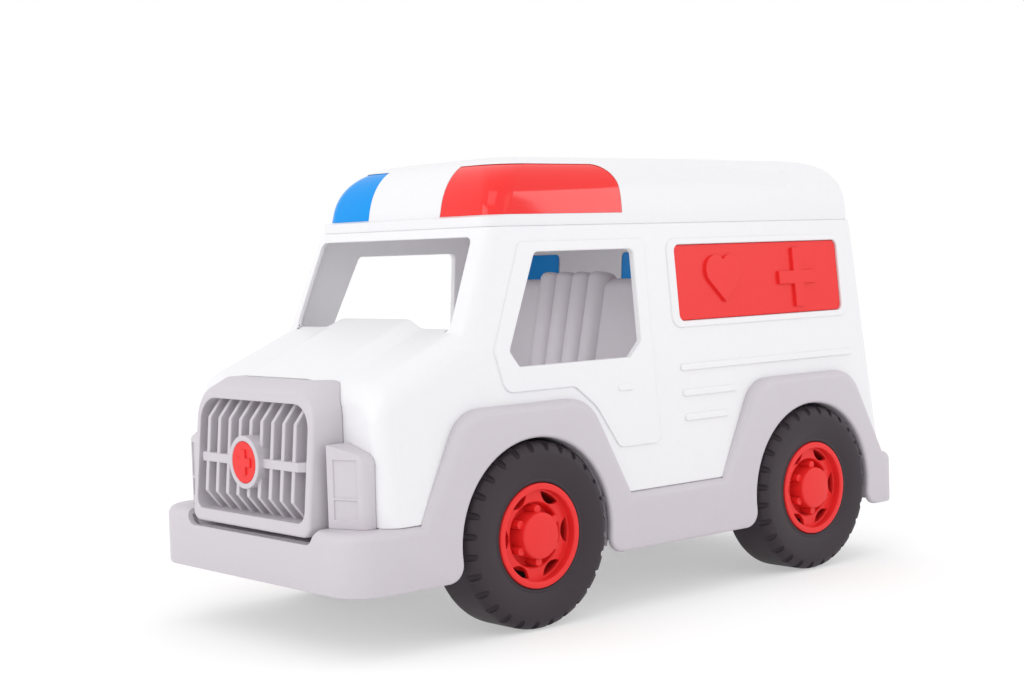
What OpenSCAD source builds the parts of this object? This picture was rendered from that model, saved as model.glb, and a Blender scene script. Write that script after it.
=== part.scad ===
// Toy ambulance: a moulded plastic floor toy with free-running wheels and two rear doors.
// +X points to the vehicle's front, +Y to its left, +Z up; the wheels stand on z = 0.

/* [Overall] */
// Length over both bumpers
overall_length = 427; // [420:1:440]
// Width over the wheel flares
overall_width = 189; // [184:1:196]
// Height of the roof's crown above the ground
overall_height = 255; // [250:1:262]
// Distance between the two axles, as a share of the length
wheelbase_share = 0.5293; // [0.52:0.0001:0.54]
// From the front axle forward to the bumper's face, as a share of the length
front_overhang_share = 0.2845; // [0.28:0.0001:0.29]

/* [Wheels] */
// Radius of the tyre's tread
tyre_r = 50; // [48:0.5:51]
// Width of the tyre
tyre_width = 30; // [28:0.5:32]
// Radius of the coloured hub
hub_r = 28; // [25:0.5:31]
// Radius of the steel axles
axle_r = 3; // [2.5:0.1:3.5]
// Number of notches round the tread
tread_notches = 28; // [20:1:32]
// Number of windows and lugs in a hub
hub_spokes = 6; // [5:1:6]

/* [Lower body] */
// Underside of the sills and bumpers
skirt_bottom = 33; // [30:1:36]
// Top of the floor deck, the sills and the bumpers
deck_top = 65; // [64:0.5:68]
// Wall of the moulded lower body
lower_wall = 3; // [2.4:0.2:3.6]
// Gap between the tread and the wheel arch
arch_gap = 4.5; // [4:0.5:6]
// Top of the wheel flares
flare_top = 120; // [116:1:124]
// Corner radius of the front bumper, seen from above
bumper_corner_r = 20; // [16:1:26]

/* [Body shell] */
// Wall of the white body
body_wall = 3; // [2.4:0.2:3.4]
// Height of the seam between the body and the roof
seam_z = 213.7; // [212:0.5:216]
// Height where the windscreen meets the bonnet
cowl_z = 159.3; // [157:0.5:161]
// Lean of the side walls
side_lean = 5; // [4:0.5:6]
// Slope of the windscreen
screen_lean = 21.6; // [20:0.5:23]
// Slope of the bonnet
bonnet_slope = 23.5; // [22:0.5:25]

/* [Rear doors] */
// Height of the door opening's lower edge above the deck
door_sill = 9; // [8:1:12]
// Height of each rear door
rear_door_height = 88; // [80:1:96]
// Width of each rear door, as a share of half the overall width
rear_door_width_share = 0.66; // [0.6:0.01:0.68]
// Radius of the hinge pins
hinge_pin_r = 1.5; // [1.2:0.1:1.8]

/* [Hidden] */
$fn = 48;

// Colours of the mouldings
white_plastic = [0.95, 0.95, 0.96];
grey_plastic = [0.78, 0.76, 0.78];
red_plastic = [0.93, 0.16, 0.13];
blue_plastic = [0.02, 0.45, 0.85];
black_plastic = [0.16, 0.15, 0.16];
steel = [0.7, 0.71, 0.73];

// Every cut runs past the faces it opens by this much
overrun = 1;
// Gap between mouldings that are assembled face to face
seat_gap = 0.2;
// Gap left round pieces that swing
swing_gap = 0.5;
// Radial clearance of a shaft that is held still
tight_clearance = 0.02;
// Radial clearance of a shaft that turns
running_clearance = 0.06;
// Steps in a rounded corner
corner_steps = 5;

// Main places
half_length = overall_length / 2;
half_width = overall_width / 2;
front_axle_x = down_length(front_overhang_share);
rear_axle_x = front_axle_x - overall_length * wheelbase_share;
axle_z = tyre_r;

// Places along the vehicle are shares of its length, measured back from the bumper's face
function down_length(share) = half_length - overall_length * share;

// The white body's faces, measured in from the bumpers and flares
nose_set_back = 23.5;
rear_set_in = 7;
side_set_in = 2.9;
screen_set_back_share = 0.2445;
rear_rake = 9;
rear_corner_r = 8;
pillar_r = 12;
nose_r = 10;
nose_drop_share = 0.8;
nose_x = half_length - nose_set_back;
body_rear_x = -half_length + rear_set_in;
body_height = seam_z - deck_top;
rear_lean = atan(rear_rake / body_height);

// Bonnet: its shoulders and the raised middle that leads to the grille
shoulder_r = 15;
bonnet_side_step = 0.3;
bulge_rise = 7;
bulge_side_gap = 20.6;
bulge_run = 18;
bonnet_start_lap = 30;
bulge_outer_y = body_half(deck_top) - nose_r - shoulder_r - bulge_side_gap;
bulge_inner_y = bulge_outer_y - bulge_run;

// Wheel arches and flares, measured from each axle
arch_drop = 3;
arch_r = tyre_r + arch_gap;
arch_z = axle_z - arch_drop;
flare_base_front_share = 0.1803;
flare_base_rear_share = 0.1616;
flare_top_front_share = 0.1124;
flare_top_rear_share = 0.096;
flare_corner_r = 14;
flare_root_depth = 25;
rear_bumper_r = 8;
tub_r = arch_r + lower_wall;

// Wheel layout along the axle, measured from the tyre's inner face
wheel_proud_hub = 1;
tyre_outer_y = half_width - wheel_proud_hub;
tyre_inner_y = tyre_outer_y - tyre_width;
tyre_wall = 3;
tread_wall = 4;
tyre_shoulder_r = 7;
tyre_bulge = 2.5;
tyre_lip = 2;
wheel_boss_r = 9;
wheel_boss_length = 18;
web_start = 10;
web_thickness = 3;
hub_barrel_clearance = 0.1;
side_play = 1;
notch_width = 3;
notch_depth = 2;
notch_length = 12;

// Wheel tubs and axle bosses of the lower body
tub_inner_y = tyre_inner_y - side_play - lower_wall - 2 * side_play;
axle_boss_r = 8;
axle_boss_length = 11;

// Push nuts that keep the wheels on the axles
push_nut_r = 7;
push_nut_thickness = 1.5;
axle_end_proud = 3;

// Hub: rim, dish, middle boss and lugs
hub_rim_wall = 3.5;
hub_dish_depth = 6;
hub_dish_wall = 2.5;
hub_boss_r = 12.5;
hub_boss_wall = 3;
hub_boss_set_in = 1.5;
hub_lug_r = 2.3;
hub_lug_circle_r = 14.2;
hub_lug_height = 2.5;
hub_window_circle_r = 20.6;
hub_window_r = 3.2;

// Windows: the outlines lie on the side walls and on the windscreen
screen_top_set_down = 5.3;
screen_bottom_rise = 2.5;
screen_top_pillar = 11.25;
screen_bottom_pillar = 12.8;
screen_corner_r = 4;
screen_cut_depth = 52;
door_window_bottom = 139.4;
door_window_top = 199.7;
door_window_chamfer = 8.5;
door_window_front_chamfer_run_share = 0.0145;
door_window_rear_chamfer_run_share = 0.0222;
door_window_bottom_front_share = 0.2768;
door_window_top_front_share = 0.3176;
door_window_rear_share = 0.4913;
door_window_corner_r = 2.5;
rear_window_half_share = 0.562;
rear_window_gap = 10;
rear_window_top = 139;
rear_window_corner_r = 8;

// Raised door on each side wall: its heights, and its corners as shares of the length
door_proud = 1;
door_top = 205.5;
door_belt_z = 148.7;
door_front_z = 126;
door_step_z = 114;
door_bottom = 90;
door_top_front_share = 0.293;
door_belt_front_share = 0.2372;
door_low_front_share = 0.2506;
door_step_front_share = 0.3665;
door_step_middle_share = 0.4016;
door_step_rear_share = 0.4368;
door_rear_share = 0.5129;
door_corner_r = 4;
door_step_r = 30;

// Side panels, with their rims
panel_front_share = 0.5703;
panel_length_share = 0.3443;
panel_bottom = 157.4;
panel_height = 43.5;
panel_corner_r = 4;
panel_thickness = 1.8;
panel_ledge = 4;
panel_bar_front_share = 0.7014;
panel_bar_rear_share = 0.8372;
panel_set_in = 0.4;
panel_rim_proud = 0.9;
panel_rim_front = 6.5;
panel_rim_rear = 5;
panel_rim_width = 4;
panel_rim_r = 7;
emblem_height = 1.2;
emblem_spacing = 67;
emblem_size = 36;
emblem_arm_share = 0.3;

// Raised ribs and the moulded handle on the side walls
rib_height = 4;
rib_proud = 1;
rib_front_share = 0.5632;
rib_length_shares = [0.3642, 0.1077, 0.0857];
rib_levels = [130.7, 116, 102];
handle_front_share = 0.4415;
handle_length_share = 0.0281;
handle_level = 123;
handle_proud = 1.8;

// Roof
roof_ledge = 1.2;
roof_wall = 3;
roof_shoulder_rise = 37.8;
roof_shoulder_run_share = 0.34;
roof_shoulder_power = 2.5;
roof_crown_run_shares = [0.605, 0.757];
roof_crown_rise_shares = [0.75, 1];
roof_corner_growth_share = 0.6;
roof_lip_depth = 5;
roof_lip_wall = 2;
roof_steps = 7;
flute_r = 16;
flute_depth = 3;
flute_front_share = 0.652;
flute_length_share = 0.16;
flute_place = 41;
flute_turn = 37;
roof_shoulder_run = half_width * roof_shoulder_run_share;
body_cut_top = seam_z + roof_shoulder_rise;

// Roof lights, let into the roof's front corners
light_rear_share = 0.4813;
light_inner_share = 0.357;
light_bottom_rise = 6.5;
light_height = 30.5;
light_corner_r = 14;
light_wall = 2.4;
light_proud = 0.6;

// Grille
grille_half_share = 0.584;
grille_half = half_width * grille_half_share;
grille_bottom = 60;
grille_top = 140;
grille_foot_set_back = 1.5;
grille_brow_set_back = 9;
grille_corner_r = 19;
grille_foot_r = 5;
grille_frame = 5.6;
grille_opening_bottom = 67;
grille_opening_top = 128;
grille_opening_r = 7;
grille_rear_lap = 4;
grille_back_gap = 1;
grille_proud = 0.8;
grille_brow_r = 6;
slat_count = 9;
slat_width = 3;
slat_set_in = 2;
slat_chamfer_height = 11;
slat_chamfer_depth = 9;
grille_bar_height = 5;
grille_bar_set_in = 1.6;
badge_z = 95;
badge_ring_r = 14;
badge_r = 11;
badge_ring_proud = 2.5;
badge_thickness = 3;
badge_clearance = 0.1;
badge_plus_share = 0.62;
badge_plus_arm_share = 0.34;
badge_plus_proud = 0.6;
grille_notch_gap = 3;
grille_notch_side_gap = 2;

// Headlamp blocks
lamp_side_set_in = 2.6;
lamp_top = 105;
lamp_outer_y = body_half(lamp_top) - lamp_side_set_in;
lamp_inner_front = 9;
lamp_outer_front = 20;
lamp_depth = 16;
lamp_corner_r = 8;
lamp_edge_r = 6;
lamp_pocket_depth = 1.5;
lamp_pocket_border = 4.5;
lamp_divider_z = 80;
lamp_divider = 2;

// Bench seat
seat_set_back_share = 0.5492;
seat_back_thickness = 17;
seat_back_top = 182;
seat_middle_top = 187;
seat_middle_half_share = 0.303;
seat_side_gap = 6.4;
seat_cushion_top = 112;
seat_tub_gap = 5.5;
seat_flutes = 4;
seat_flute_proud = 3;
seat_flute_r_share = 0.6;
seat_corner_r = 7;
seat_wall = 3;
seat_half = body_half(seat_back_top) - body_wall - seat_side_gap;
seat_face_x = down_length(seat_set_back_share);
seat_rear_x = seat_face_x - seat_back_thickness;
seat_front_x = front_axle_x - tub_r - seat_tub_gap;

// Raised load floor between the rear wheel tubs
load_floor_rise = 1;
load_floor_gap = 3.5;
load_floor_rear_gap = 12;

// Rear doors, hinges and screws
door_thickness = 3;
door_gap = 0.6;
hinge_set_out = 3.8;
hinge_side_gap = 5;
rear_door_width = half_width * rear_door_width_share;
hinge_y = rear_door_width + hinge_side_gap;
knuckle_r = 3.2;
knuckle_length = 8;
hinge_leaf = 2.2;
hinge_leaf_lap = 5;
door_handle_height = 26;
door_handle_width = 5;
door_handle_proud = 3;
door_handle_set_in = 5;
opening_corner_r = 4;
screw_r = 1.5;
screw_head_r = 3.5;
screw_head_height = 2.2;
screw_length = 14;
screw_boss_r = 5;
screw_boss_height = 24;
screw_hole_clearance = 0.4;
front_screw_set_in = 10;
front_screw_share = 0.432;
middle_screw_set_in = 9;
front_screw_y = half_width * front_screw_share;
middle_screw_x = (seat_rear_x + rear_axle_x + tub_r) / 2;
middle_screw_y = body_half(deck_top) - body_wall - middle_screw_set_in;

// Points on an arc
function arc(centre, r, start, turn, steps) = [
    for (i = [0:steps]) centre + r * [cos(start + turn * i / steps), sin(start + turn * i / steps)]
];

function unit(v) = v / norm(v);

// One rounded corner p of an outline, between its neighbours a and b
function fillet(a, p, b, r) =
    let (u = unit(a - p), v = unit(b - p), half = acos(u * v) / 2)
    let (centre = p + unit(u + v) * r / sin(half), first = p + u * r / tan(half) - centre)
    let (last = p + v * r / tan(half) - centre)
    let (turn = atan2(first.x * last.y - first.y * last.x, first * last))
    r == 0 ? [p] : arc(centre, r, atan2(first.y, first.x), turn, corner_steps);

// An outline from corners given as [x, y, radius]
function rounded(corners) =
    let (count = len(corners), flat = [for (c = corners) [c.x, c.y]])
    [for (i = [0:count - 1])
        each fillet(flat[(i + count - 1) % count], flat[i], flat[(i + 1) % count], corners[i][2])];

// A rectangle from corner to corner, all its corners of one radius
function rounded_box(low, high, r) =
    rounded([[low.x, low.y, r], [high.x, low.y, r], [high.x, high.y, r], [low.x, high.y, r]]);

// A rectangle that is even about the X axis, with its own radii at the rear and at the front
function plan_outline(rear, front, half, rear_r, front_r) = rounded(
    [[rear, -half, rear_r], [front, -half, front_r], [front, half, front_r], [rear, half, rear_r]]);

function at_height(outline, z) = [for (p = outline) [p.x, p.y, z]];

// A solid through rings of equally many points; each ring runs anticlockwise seen from the last one
module loft(rings) {
    count = len(rings[0]);
    last = len(rings) - 1;
    sides = [for (k = [0:last - 1], i = [0:count - 1])
        let (a = k * count + i, b = k * count + (i + 1) % count)
        each [[a, a + count, b + count], [a, b + count, b]]];
    caps = [[for (i = [0:count - 1]) i], [for (i = [count - 1:-1:0]) last * count + i]];
    polyhedron([for (ring = rings) each ring], concat(sides, caps), convexity = 10);
}

// An outline in X and Z, drawn out along Y between two planes
module across(outline, y0, y1) {
    translate([0, y1, 0]) rotate([90, 0, 0]) linear_extrude(y1 - y0) polygon(outline);
}

module on_both_sides() {
    children();
    mirror([0, 1, 0]) children();
}

// The white body: side walls, rear wall and windscreen as planes that lean inwards
function body_half(z) = half_width - side_set_in - tan(side_lean) * (z - deck_top);
function rear_x(z) = body_rear_x + tan(rear_lean) * (z - deck_top);
function screen_x(z) = down_length(screen_set_back_share) + tan(screen_lean) * (seam_z - z);
cowl_x = screen_x(cowl_z);

function body_outline(z, inset) = plan_outline(
    rear_x(z) + inset, screen_x(z) - inset / cos(screen_lean), body_half(z) - inset,
    rear_corner_r - inset, pillar_r - inset);

module box_form(inset, low, high) {
    loft([at_height(body_outline(low, inset), low), at_height(body_outline(high, inset), high)]);
}

// The bonnet: rings along X that draw in towards the nose
function bonnet_z(x) = cowl_z - tan(bonnet_slope) * (x - cowl_x);
function ease(t) = t * t * (3 - 2 * t);

function bonnet_half_ring(x, cut, inset, low) =
    let (drop = inset + (cut - inset) * nose_drop_share, side_z = bonnet_z(x) - drop)
    let (middle_z = bonnet_z(x) + bulge_rise - inset, r = shoulder_r - inset)
    let (side = cut + bonnet_side_step, shoulder = [body_half(side_z - r) - side - r, side_z - r])
    concat(
        [[body_half(low) - side, low]],
        arc(shoulder, r, 0, 90, corner_steps),
        [for (i = [corner_steps:-1:0])
            let (t = i / corner_steps)
            [bulge_inner_y + (bulge_outer_y - bulge_inner_y) * t,
                middle_z + (side_z - middle_z) * ease(t)]]);

function bonnet_ring(x, cut, inset, low) =
    let (half = bonnet_half_ring(x, cut, inset, low), count = len(half))
    concat(
        [for (p = half) [x, p.x, p.y]],
        [for (i = [count - 1:-1:0]) [x, -half[i].x, half[i].y]]);

module bonnet_form(inset, low) {
    turns = [for (i = [0:corner_steps]) 90 * i / corner_steps];
    loft(concat(
        [bonnet_ring(cowl_x - bonnet_start_lap, inset, inset, low)],
        [for (a = turns)
            bonnet_ring(
                nose_x - nose_r + (nose_r - inset) * sin(a), nose_r - (nose_r - inset) * cos(a), inset, low)]));
}

// The roof: plan outlines that draw in over the shoulder, then over the crown
function roof_outline(cut) =
    let (half = body_half(seam_z) - roof_ledge - cut)
    plan_outline(
        rear_x(seam_z) + roof_ledge + cut, screen_x(seam_z) - roof_ledge - cut, half,
        min(half, rear_corner_r + cut * roof_corner_growth_share) - seat_gap,
        min(half, pillar_r + cut * roof_corner_growth_share) - seat_gap);

// A point on the roof's shoulder: how far it is drawn in, and its rise above the seam
function roof_shoulder(turn, inset) = [
    inset + (roof_shoulder_run - inset) * (1 - pow(cos(turn), 2 / roof_shoulder_power)),
    seat_gap + (roof_shoulder_rise - seat_gap - inset) * pow(sin(turn), 2 / roof_shoulder_power)
];

module roof_form(inset, low) {
    crown_rise = overall_height - seam_z - roof_shoulder_rise;
    turns = [for (i = [0:roof_steps]) 90 * i / roof_steps];
    loft(concat(
        [at_height(roof_outline(inset), low)],
        [for (a = turns)
            let (p = roof_shoulder(a, inset))
            at_height(roof_outline(p.x), seam_z + p.y)],
        [for (k = [0:len(roof_crown_run_shares) - 1])
            at_height(roof_outline(half_width * roof_crown_run_shares[k]),
                seam_z + roof_shoulder_rise + crown_rise * roof_crown_rise_shares[k] - inset)]));
}

// The outline of one roof light, seen from the side, grown by a margin
module light_prism(margin) {
    low = [down_length(light_rear_share) - margin, seam_z + light_bottom_rise - margin];
    high = [half_length, low.y + light_height + 2 * margin];
    across(
        rounded([
            [low.x, low.y, 0], [high.x, low.y, 0], [high.x, high.y, 0], [low.x, high.y, light_corner_r]]),
        half_width * light_inner_share - margin, half_width);
}

// Wheel places: the wheel's own axis is Z, with its outer face up
module at_wheel(x, side) {
    mirror([0, side < 0 ? 1 : 0, 0])
        translate([x, tyre_inner_y, axle_z]) rotate([-90, 0, 0]) children();
}

module at_axles() {
    for (x = [front_axle_x, rear_axle_x]) translate([x, 0, 0]) children();
}

// The rear wall's own frame: its outer face is x = 0, and z runs up the wall from the deck
module on_rear_wall() {
    translate([body_rear_x, 0, deck_top]) rotate([0, rear_lean, 0]) children();
}

// An outline in Y and Z, drawn out along X between two planes
module along(outline, x0, x1) {
    translate([x0, 0, 0]) rotate([90, 0, 90]) linear_extrude(x1 - x0) polygon(outline);
}

module screw_places() {
    on_both_sides() translate([nose_x - body_wall - front_screw_set_in, front_screw_y, deck_top]) children();
    on_both_sides() translate([middle_screw_x, middle_screw_y, deck_top]) children();
}

// Lower body: deck, sills, bumpers, flares and wheel tubs in one moulding
function skirt_outline(inset) = plan_outline(
    -half_length + inset, half_length - inset, half_width - inset,
    rear_bumper_r - inset, bumper_corner_r - inset);

flare_outline = rounded([
    [-overall_length * flare_base_rear_share, deck_top - lower_wall, 0],
    [overall_length * flare_base_front_share, deck_top - lower_wall, 0],
    [overall_length * flare_top_front_share, flare_top, flare_corner_r],
    [-overall_length * flare_top_rear_share, flare_top, flare_corner_r]]);

module tray() {
    difference() {
        translate([0, 0, skirt_bottom]) linear_extrude(deck_top - skirt_bottom) polygon(skirt_outline(0));
        translate([0, 0, skirt_bottom - overrun])
            linear_extrude(deck_top - skirt_bottom - lower_wall + overrun) polygon(skirt_outline(lower_wall));
    }
}

module flares() {
    difference() {
        at_axles() on_both_sides() across(flare_outline, half_width - flare_root_depth, half_width);
        box_form(-seat_gap, 0, body_cut_top);
        bonnet_form(-seat_gap, 0);
    }
}

module tubs() {
    difference() {
        at_axles() on_both_sides() union() {
            translate([0, tub_inner_y, arch_z]) rotate([-90, 0, 0])
                cylinder(r = tub_r, h = half_width - tub_inner_y);
            translate([0, tyre_inner_y - side_play - axle_boss_length, axle_z]) rotate([-90, 0, 0])
                cylinder(r = axle_boss_r, h = axle_boss_length);
        }
        translate([-half_length, -half_width - overrun, skirt_bottom - 2 * arch_r])
            cube([overall_length, overall_width + 2 * overrun, 2 * arch_r]);
    }
}

module wheel_spaces() {
    at_axles() on_both_sides() difference() {
        translate([0, tub_inner_y + lower_wall, arch_z]) rotate([-90, 0, 0])
            cylinder(r = arch_r, h = half_width - tub_inner_y);
        translate([0, tyre_inner_y - side_play - axle_boss_length, axle_z]) rotate([-90, 0, 0])
            cylinder(r = axle_boss_r, h = axle_boss_length);
    }
}

module grille_notch() {
    half = grille_half + grille_notch_side_gap;
    translate([nose_x, -half, grille_bottom - grille_notch_gap])
        cube([half_length - nose_x + overrun, 2 * half, deck_top]);
}

module lower_body() {
    color(grey_plastic) difference() {
        union() {
            difference() {
                union() {
                    tray();
                    notch_floor();
                }
                grille_notch();
            }
            flares();
            tubs();
            load_floor();
        }
        wheel_spaces();
        at_axles() translate([0, half_width, axle_z]) rotate([90, 0, 0])
            cylinder(r = axle_r + tight_clearance, h = overall_width);
        screw_places() translate([0, 0, -lower_wall - overrun])
            cylinder(r = screw_r + screw_hole_clearance, h = lower_wall + 2 * overrun);
    }
}

// Closes the bumper under the grille, where its top is let down
module notch_floor() {
    half = grille_half + grille_notch_side_gap + lower_wall;
    depth = deck_top - grille_bottom + grille_notch_gap + lower_wall;
    translate([nose_x - lower_wall, -half, deck_top - depth])
        cube([half_length - nose_x, 2 * half, depth]);
}

// Floor for figures and a stretcher, between the rear wheel tubs
module load_floor() {
    rear = body_rear_x + load_floor_rear_gap;
    half = tub_inner_y - load_floor_gap;
    translate([rear, -half, deck_top - lower_wall / 2])
        cube([seat_rear_x - load_floor_gap - rear, 2 * half, lower_wall / 2 + load_floor_rise]);
}

// White body shell
door_window_outline = rounded([
    [down_length(door_window_bottom_front_share), door_window_bottom, door_window_corner_r],
    [down_length(door_window_bottom_front_share - door_window_front_chamfer_run_share),
        door_window_bottom + door_window_chamfer, door_window_corner_r],
    [down_length(door_window_top_front_share), door_window_top, door_window_corner_r],
    [down_length(door_window_rear_share), door_window_top, door_window_corner_r],
    [down_length(door_window_rear_share), door_window_bottom + door_window_chamfer, door_window_corner_r],
    [down_length(door_window_rear_share - door_window_rear_chamfer_run_share),
        door_window_bottom, door_window_corner_r]]);

door_outline = rounded([
    [down_length(door_top_front_share), door_top, door_corner_r],
    [down_length(door_belt_front_share), door_belt_z, door_corner_r],
    [down_length(door_low_front_share), door_front_z, door_corner_r],
    [down_length(door_step_front_share), door_front_z, door_corner_r],
    [down_length(door_step_middle_share), door_step_z, door_step_r],
    [down_length(door_step_rear_share), door_bottom, door_corner_r],
    [down_length(door_rear_share), door_bottom, door_corner_r],
    [down_length(door_rear_share), door_top, door_corner_r]]);

screen_low = cowl_z + screen_bottom_rise;
screen_high = seam_z - screen_top_set_down;
screen_low_half = body_half(screen_low) - screen_bottom_pillar;
screen_high_half = body_half(screen_high) - screen_top_pillar;
screen_outline = rounded([
    [-screen_low_half, screen_low, screen_corner_r], [screen_low_half, screen_low, screen_corner_r],
    [screen_high_half, screen_high, screen_corner_r], [-screen_high_half, screen_high, screen_corner_r]]);

door_opening_outline = rounded_box(
    [-rear_door_width - 2 * door_gap, door_sill - door_gap],
    [rear_door_width + 2 * door_gap, door_sill + rear_door_height + door_gap], opening_corner_r);

rear_window_half = half_width * rear_window_half_share;
rear_window_outline = rounded_box(
    [-rear_window_half, door_sill + rear_door_height + rear_window_gap], [rear_window_half, rear_window_top],
    rear_window_corner_r);

// The side panel's outline, grown by a margin
function panel_outline(margin) = rounded_box(
    [down_length(panel_front_share + panel_length_share) - margin, panel_bottom - margin],
    [down_length(panel_front_share) + margin, panel_bottom + panel_height + margin], panel_corner_r);

panel_rim_outline = rounded_box(
    [down_length(panel_front_share + panel_length_share) - panel_rim_rear, panel_bottom - panel_rim_width],
    [down_length(panel_front_share) + panel_rim_front, panel_bottom + panel_height + panel_rim_width],
    panel_rim_r);

// A layer of the side wall between two depths, in the shape of an outline seen from the side
module wall_layer(outline, outer_depth, inner_depth) {
    difference() {
        intersection() {
            across(outline, 0, half_width + overrun);
            box_form(outer_depth, deck_top, seam_z);
        }
        box_form(inner_depth, deck_top - overrun, seam_z + overrun);
    }
}

module rib(front_share, length_share, level, proud) {
    outline = rounded_box(
        [down_length(front_share + length_share), level - rib_height / 2],
        [down_length(front_share), level + rib_height / 2],
        rib_height / 2 - seat_gap);
    wall_layer(outline, -proud, body_wall / 2);
}

// What stands proud of a side wall: the door and its handle, the panel's rim and three ribs
module side_relief() {
    for (i = [0:len(rib_length_shares) - 1])
        rib(rib_front_share, rib_length_shares[i], rib_levels[i], rib_proud);
    rib(handle_front_share, handle_length_share, handle_level, handle_proud);
    wall_layer(door_outline, -door_proud, body_wall / 2);
    wall_layer(panel_rim_outline, -panel_rim_proud, body_wall / 2);
}

module hollow_skin() {
    difference() {
        union() {
            difference() {
                box_form(0, deck_top, seam_z);
                along(screen_outline, screen_x(seam_z) - screen_cut_depth, nose_x);
            }
            bonnet_form(0, deck_top);
        }
        box_form(body_wall, 0, body_cut_top);
        bonnet_form(body_wall, 0);
    }
}

module screw_boss() {
    difference() {
        cylinder(r = screw_boss_r, h = screw_boss_height);
        translate([0, 0, -overrun]) cylinder(r = screw_r + running_clearance, h = screw_length + overrun);
    }
}

// Ribs that tie the screw bosses to the walls beside them
module boss_ribs() {
    front_x = nose_x - body_wall - front_screw_set_in;
    reach_y = body_half(deck_top + screw_boss_height) - body_wall / 2;
    on_both_sides() {
        translate([front_x + screw_boss_r - overrun, front_screw_y - body_wall / 2, deck_top])
            cube([nose_x - body_wall / 2 - front_x - screw_boss_r + overrun, body_wall, screw_boss_height]);
        translate([middle_screw_x - body_wall / 2, middle_screw_y + screw_boss_r - overrun, deck_top])
            cube([body_wall, reach_y - middle_screw_y - screw_boss_r + overrun, screw_boss_height]);
    }
}

// Hinge knuckles of the body, above and below each door's own barrel
module body_knuckles() {
    for (z = [door_sill, door_sill + rear_door_height - knuckle_length]) translate([0, 0, z]) difference() {
        union() {
            translate([-hinge_set_out, hinge_y, 0]) cylinder(r = knuckle_r, h = knuckle_length);
            translate([-hinge_set_out, hinge_y - knuckle_r, 0])
                cube([hinge_set_out + body_wall / 2, 2 * knuckle_r, knuckle_length]);
        }
        translate([-hinge_set_out, hinge_y, -overrun])
            cylinder(r = hinge_pin_r + tight_clearance, h = knuckle_length + 2 * overrun);
    }
}

module body_shell() {
    color(white_plastic) {
        difference() {
            union() {
                hollow_skin();
                on_both_sides() side_relief();
            }
            across(door_window_outline, -half_width, half_width);
            on_both_sides() {
                difference() {
                    across(panel_outline(-panel_ledge), 0, half_width);
                    translate([down_length(panel_bar_rear_share), 0, deck_top])
                        cube([down_length(panel_bar_front_share) - down_length(panel_bar_rear_share),
                            half_width, body_height]);
                }
                difference() {
                    across(panel_outline(seat_gap), 0, half_width);
                    box_form(panel_set_in + panel_thickness, deck_top, seam_z);
                }
            }
            at_axles() on_both_sides() translate([0, tub_inner_y, arch_z]) rotate([-90, 0, 0])
                cylinder(r = tub_r + side_play, h = half_width - tub_inner_y);
            on_rear_wall() {
                along(door_opening_outline, -overrun, body_wall + overrun);
                along(rear_window_outline, -overrun, body_wall + overrun);
            }
        }
        screw_places() screw_boss();
        boss_ribs();
        on_rear_wall() on_both_sides() body_knuckles();
    }
}

// Roof cap, with a lip that drops inside the body
function lip_outline(inset) = body_outline(seam_z, body_wall + 2 * seat_gap + inset);

module roof_lip() {
    translate([0, 0, seam_z - roof_lip_depth]) difference() {
        linear_extrude(roof_lip_depth + roof_lip_wall) polygon(lip_outline(0));
        translate([0, 0, -overrun])
            linear_extrude(roof_lip_depth + roof_lip_wall + 2 * overrun) polygon(lip_outline(roof_lip_wall));
    }
}

// A long shallow flute pressed into the roof's shoulder
module roof_flute() {
    rear = down_length(flute_front_share + flute_length_share);
    front = down_length(flute_front_share);
    reach = flute_r - flute_depth;
    place = roof_shoulder(flute_place, 0);
    y = body_half(seam_z) - roof_ledge - place.x + reach * cos(flute_turn);
    z = seam_z + place.y + reach * sin(flute_turn);
    for (x = [rear, front]) translate([x, y, z]) sphere(r = flute_r);
    translate([rear, y, z]) rotate([0, 90, 0]) cylinder(r = flute_r, h = front - rear);
}

module roof_cap() {
    color(white_plastic) difference() {
        union() {
            difference() {
                roof_form(0, seam_z);
                roof_form(roof_wall, seam_z - overrun);
            }
            intersection() {
                difference() {
                    roof_form(0, seam_z);
                    roof_form(light_wall + roof_wall, seam_z - overrun);
                }
                on_both_sides() light_prism(roof_wall);
            }
            roof_lip();
        }
        difference() {
            on_both_sides() light_prism(seat_gap);
            roof_form(light_wall + seat_gap, seam_z - overrun);
        }
        on_both_sides() roof_flute();
    }
}

module roof_light() {
    difference() {
        intersection() {
            roof_form(-light_proud, seam_z);
            light_prism(0);
        }
        roof_form(light_wall, seam_z - overrun);
    }
}

module roof_light_left() {
    color(red_plastic) roof_light();
}

module roof_light_right() {
    color(blue_plastic) mirror([0, 1, 0]) roof_light();
}

// Side panels with a raised plus and a raised heart
module plus_shape(size, arm) {
    square([size, arm], center = true);
    square([arm, size], center = true);
}

// A heart about as wide as the given size: two round lobes and a point
function heart_outline(size) =
    let (r = size / 4, lobe = arc([r, r] / sqrt(2), r, -45, 180, 2 * corner_steps))
    concat([[0, -r * sqrt(2)]], lobe, [for (i = [len(lobe) - 2:-1:0]) [-lobe[i].x, lobe[i].y]]);

module emblem(x) {
    level = panel_bottom + panel_height / 2;
    translate([x, half_width, level]) rotate([90, 0, 0]) linear_extrude(half_width) children();
}

module side_panel() {
    middle_x = down_length(panel_front_share + panel_length_share / 2);
    wall_layer(panel_outline(0), panel_set_in, panel_set_in + panel_thickness);
    difference() {
        intersection() {
            union() {
                emblem(middle_x - emblem_spacing / 2) plus_shape(emblem_size, emblem_size * emblem_arm_share);
                emblem(middle_x + emblem_spacing / 2) polygon(heart_outline(emblem_size));
            }
            box_form(panel_set_in - emblem_height, deck_top, seam_z);
        }
        box_form(panel_set_in + panel_thickness / 2, deck_top - overrun, seam_z + overrun);
    }
}

module side_panel_left() {
    color(red_plastic) side_panel();
}

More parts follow.
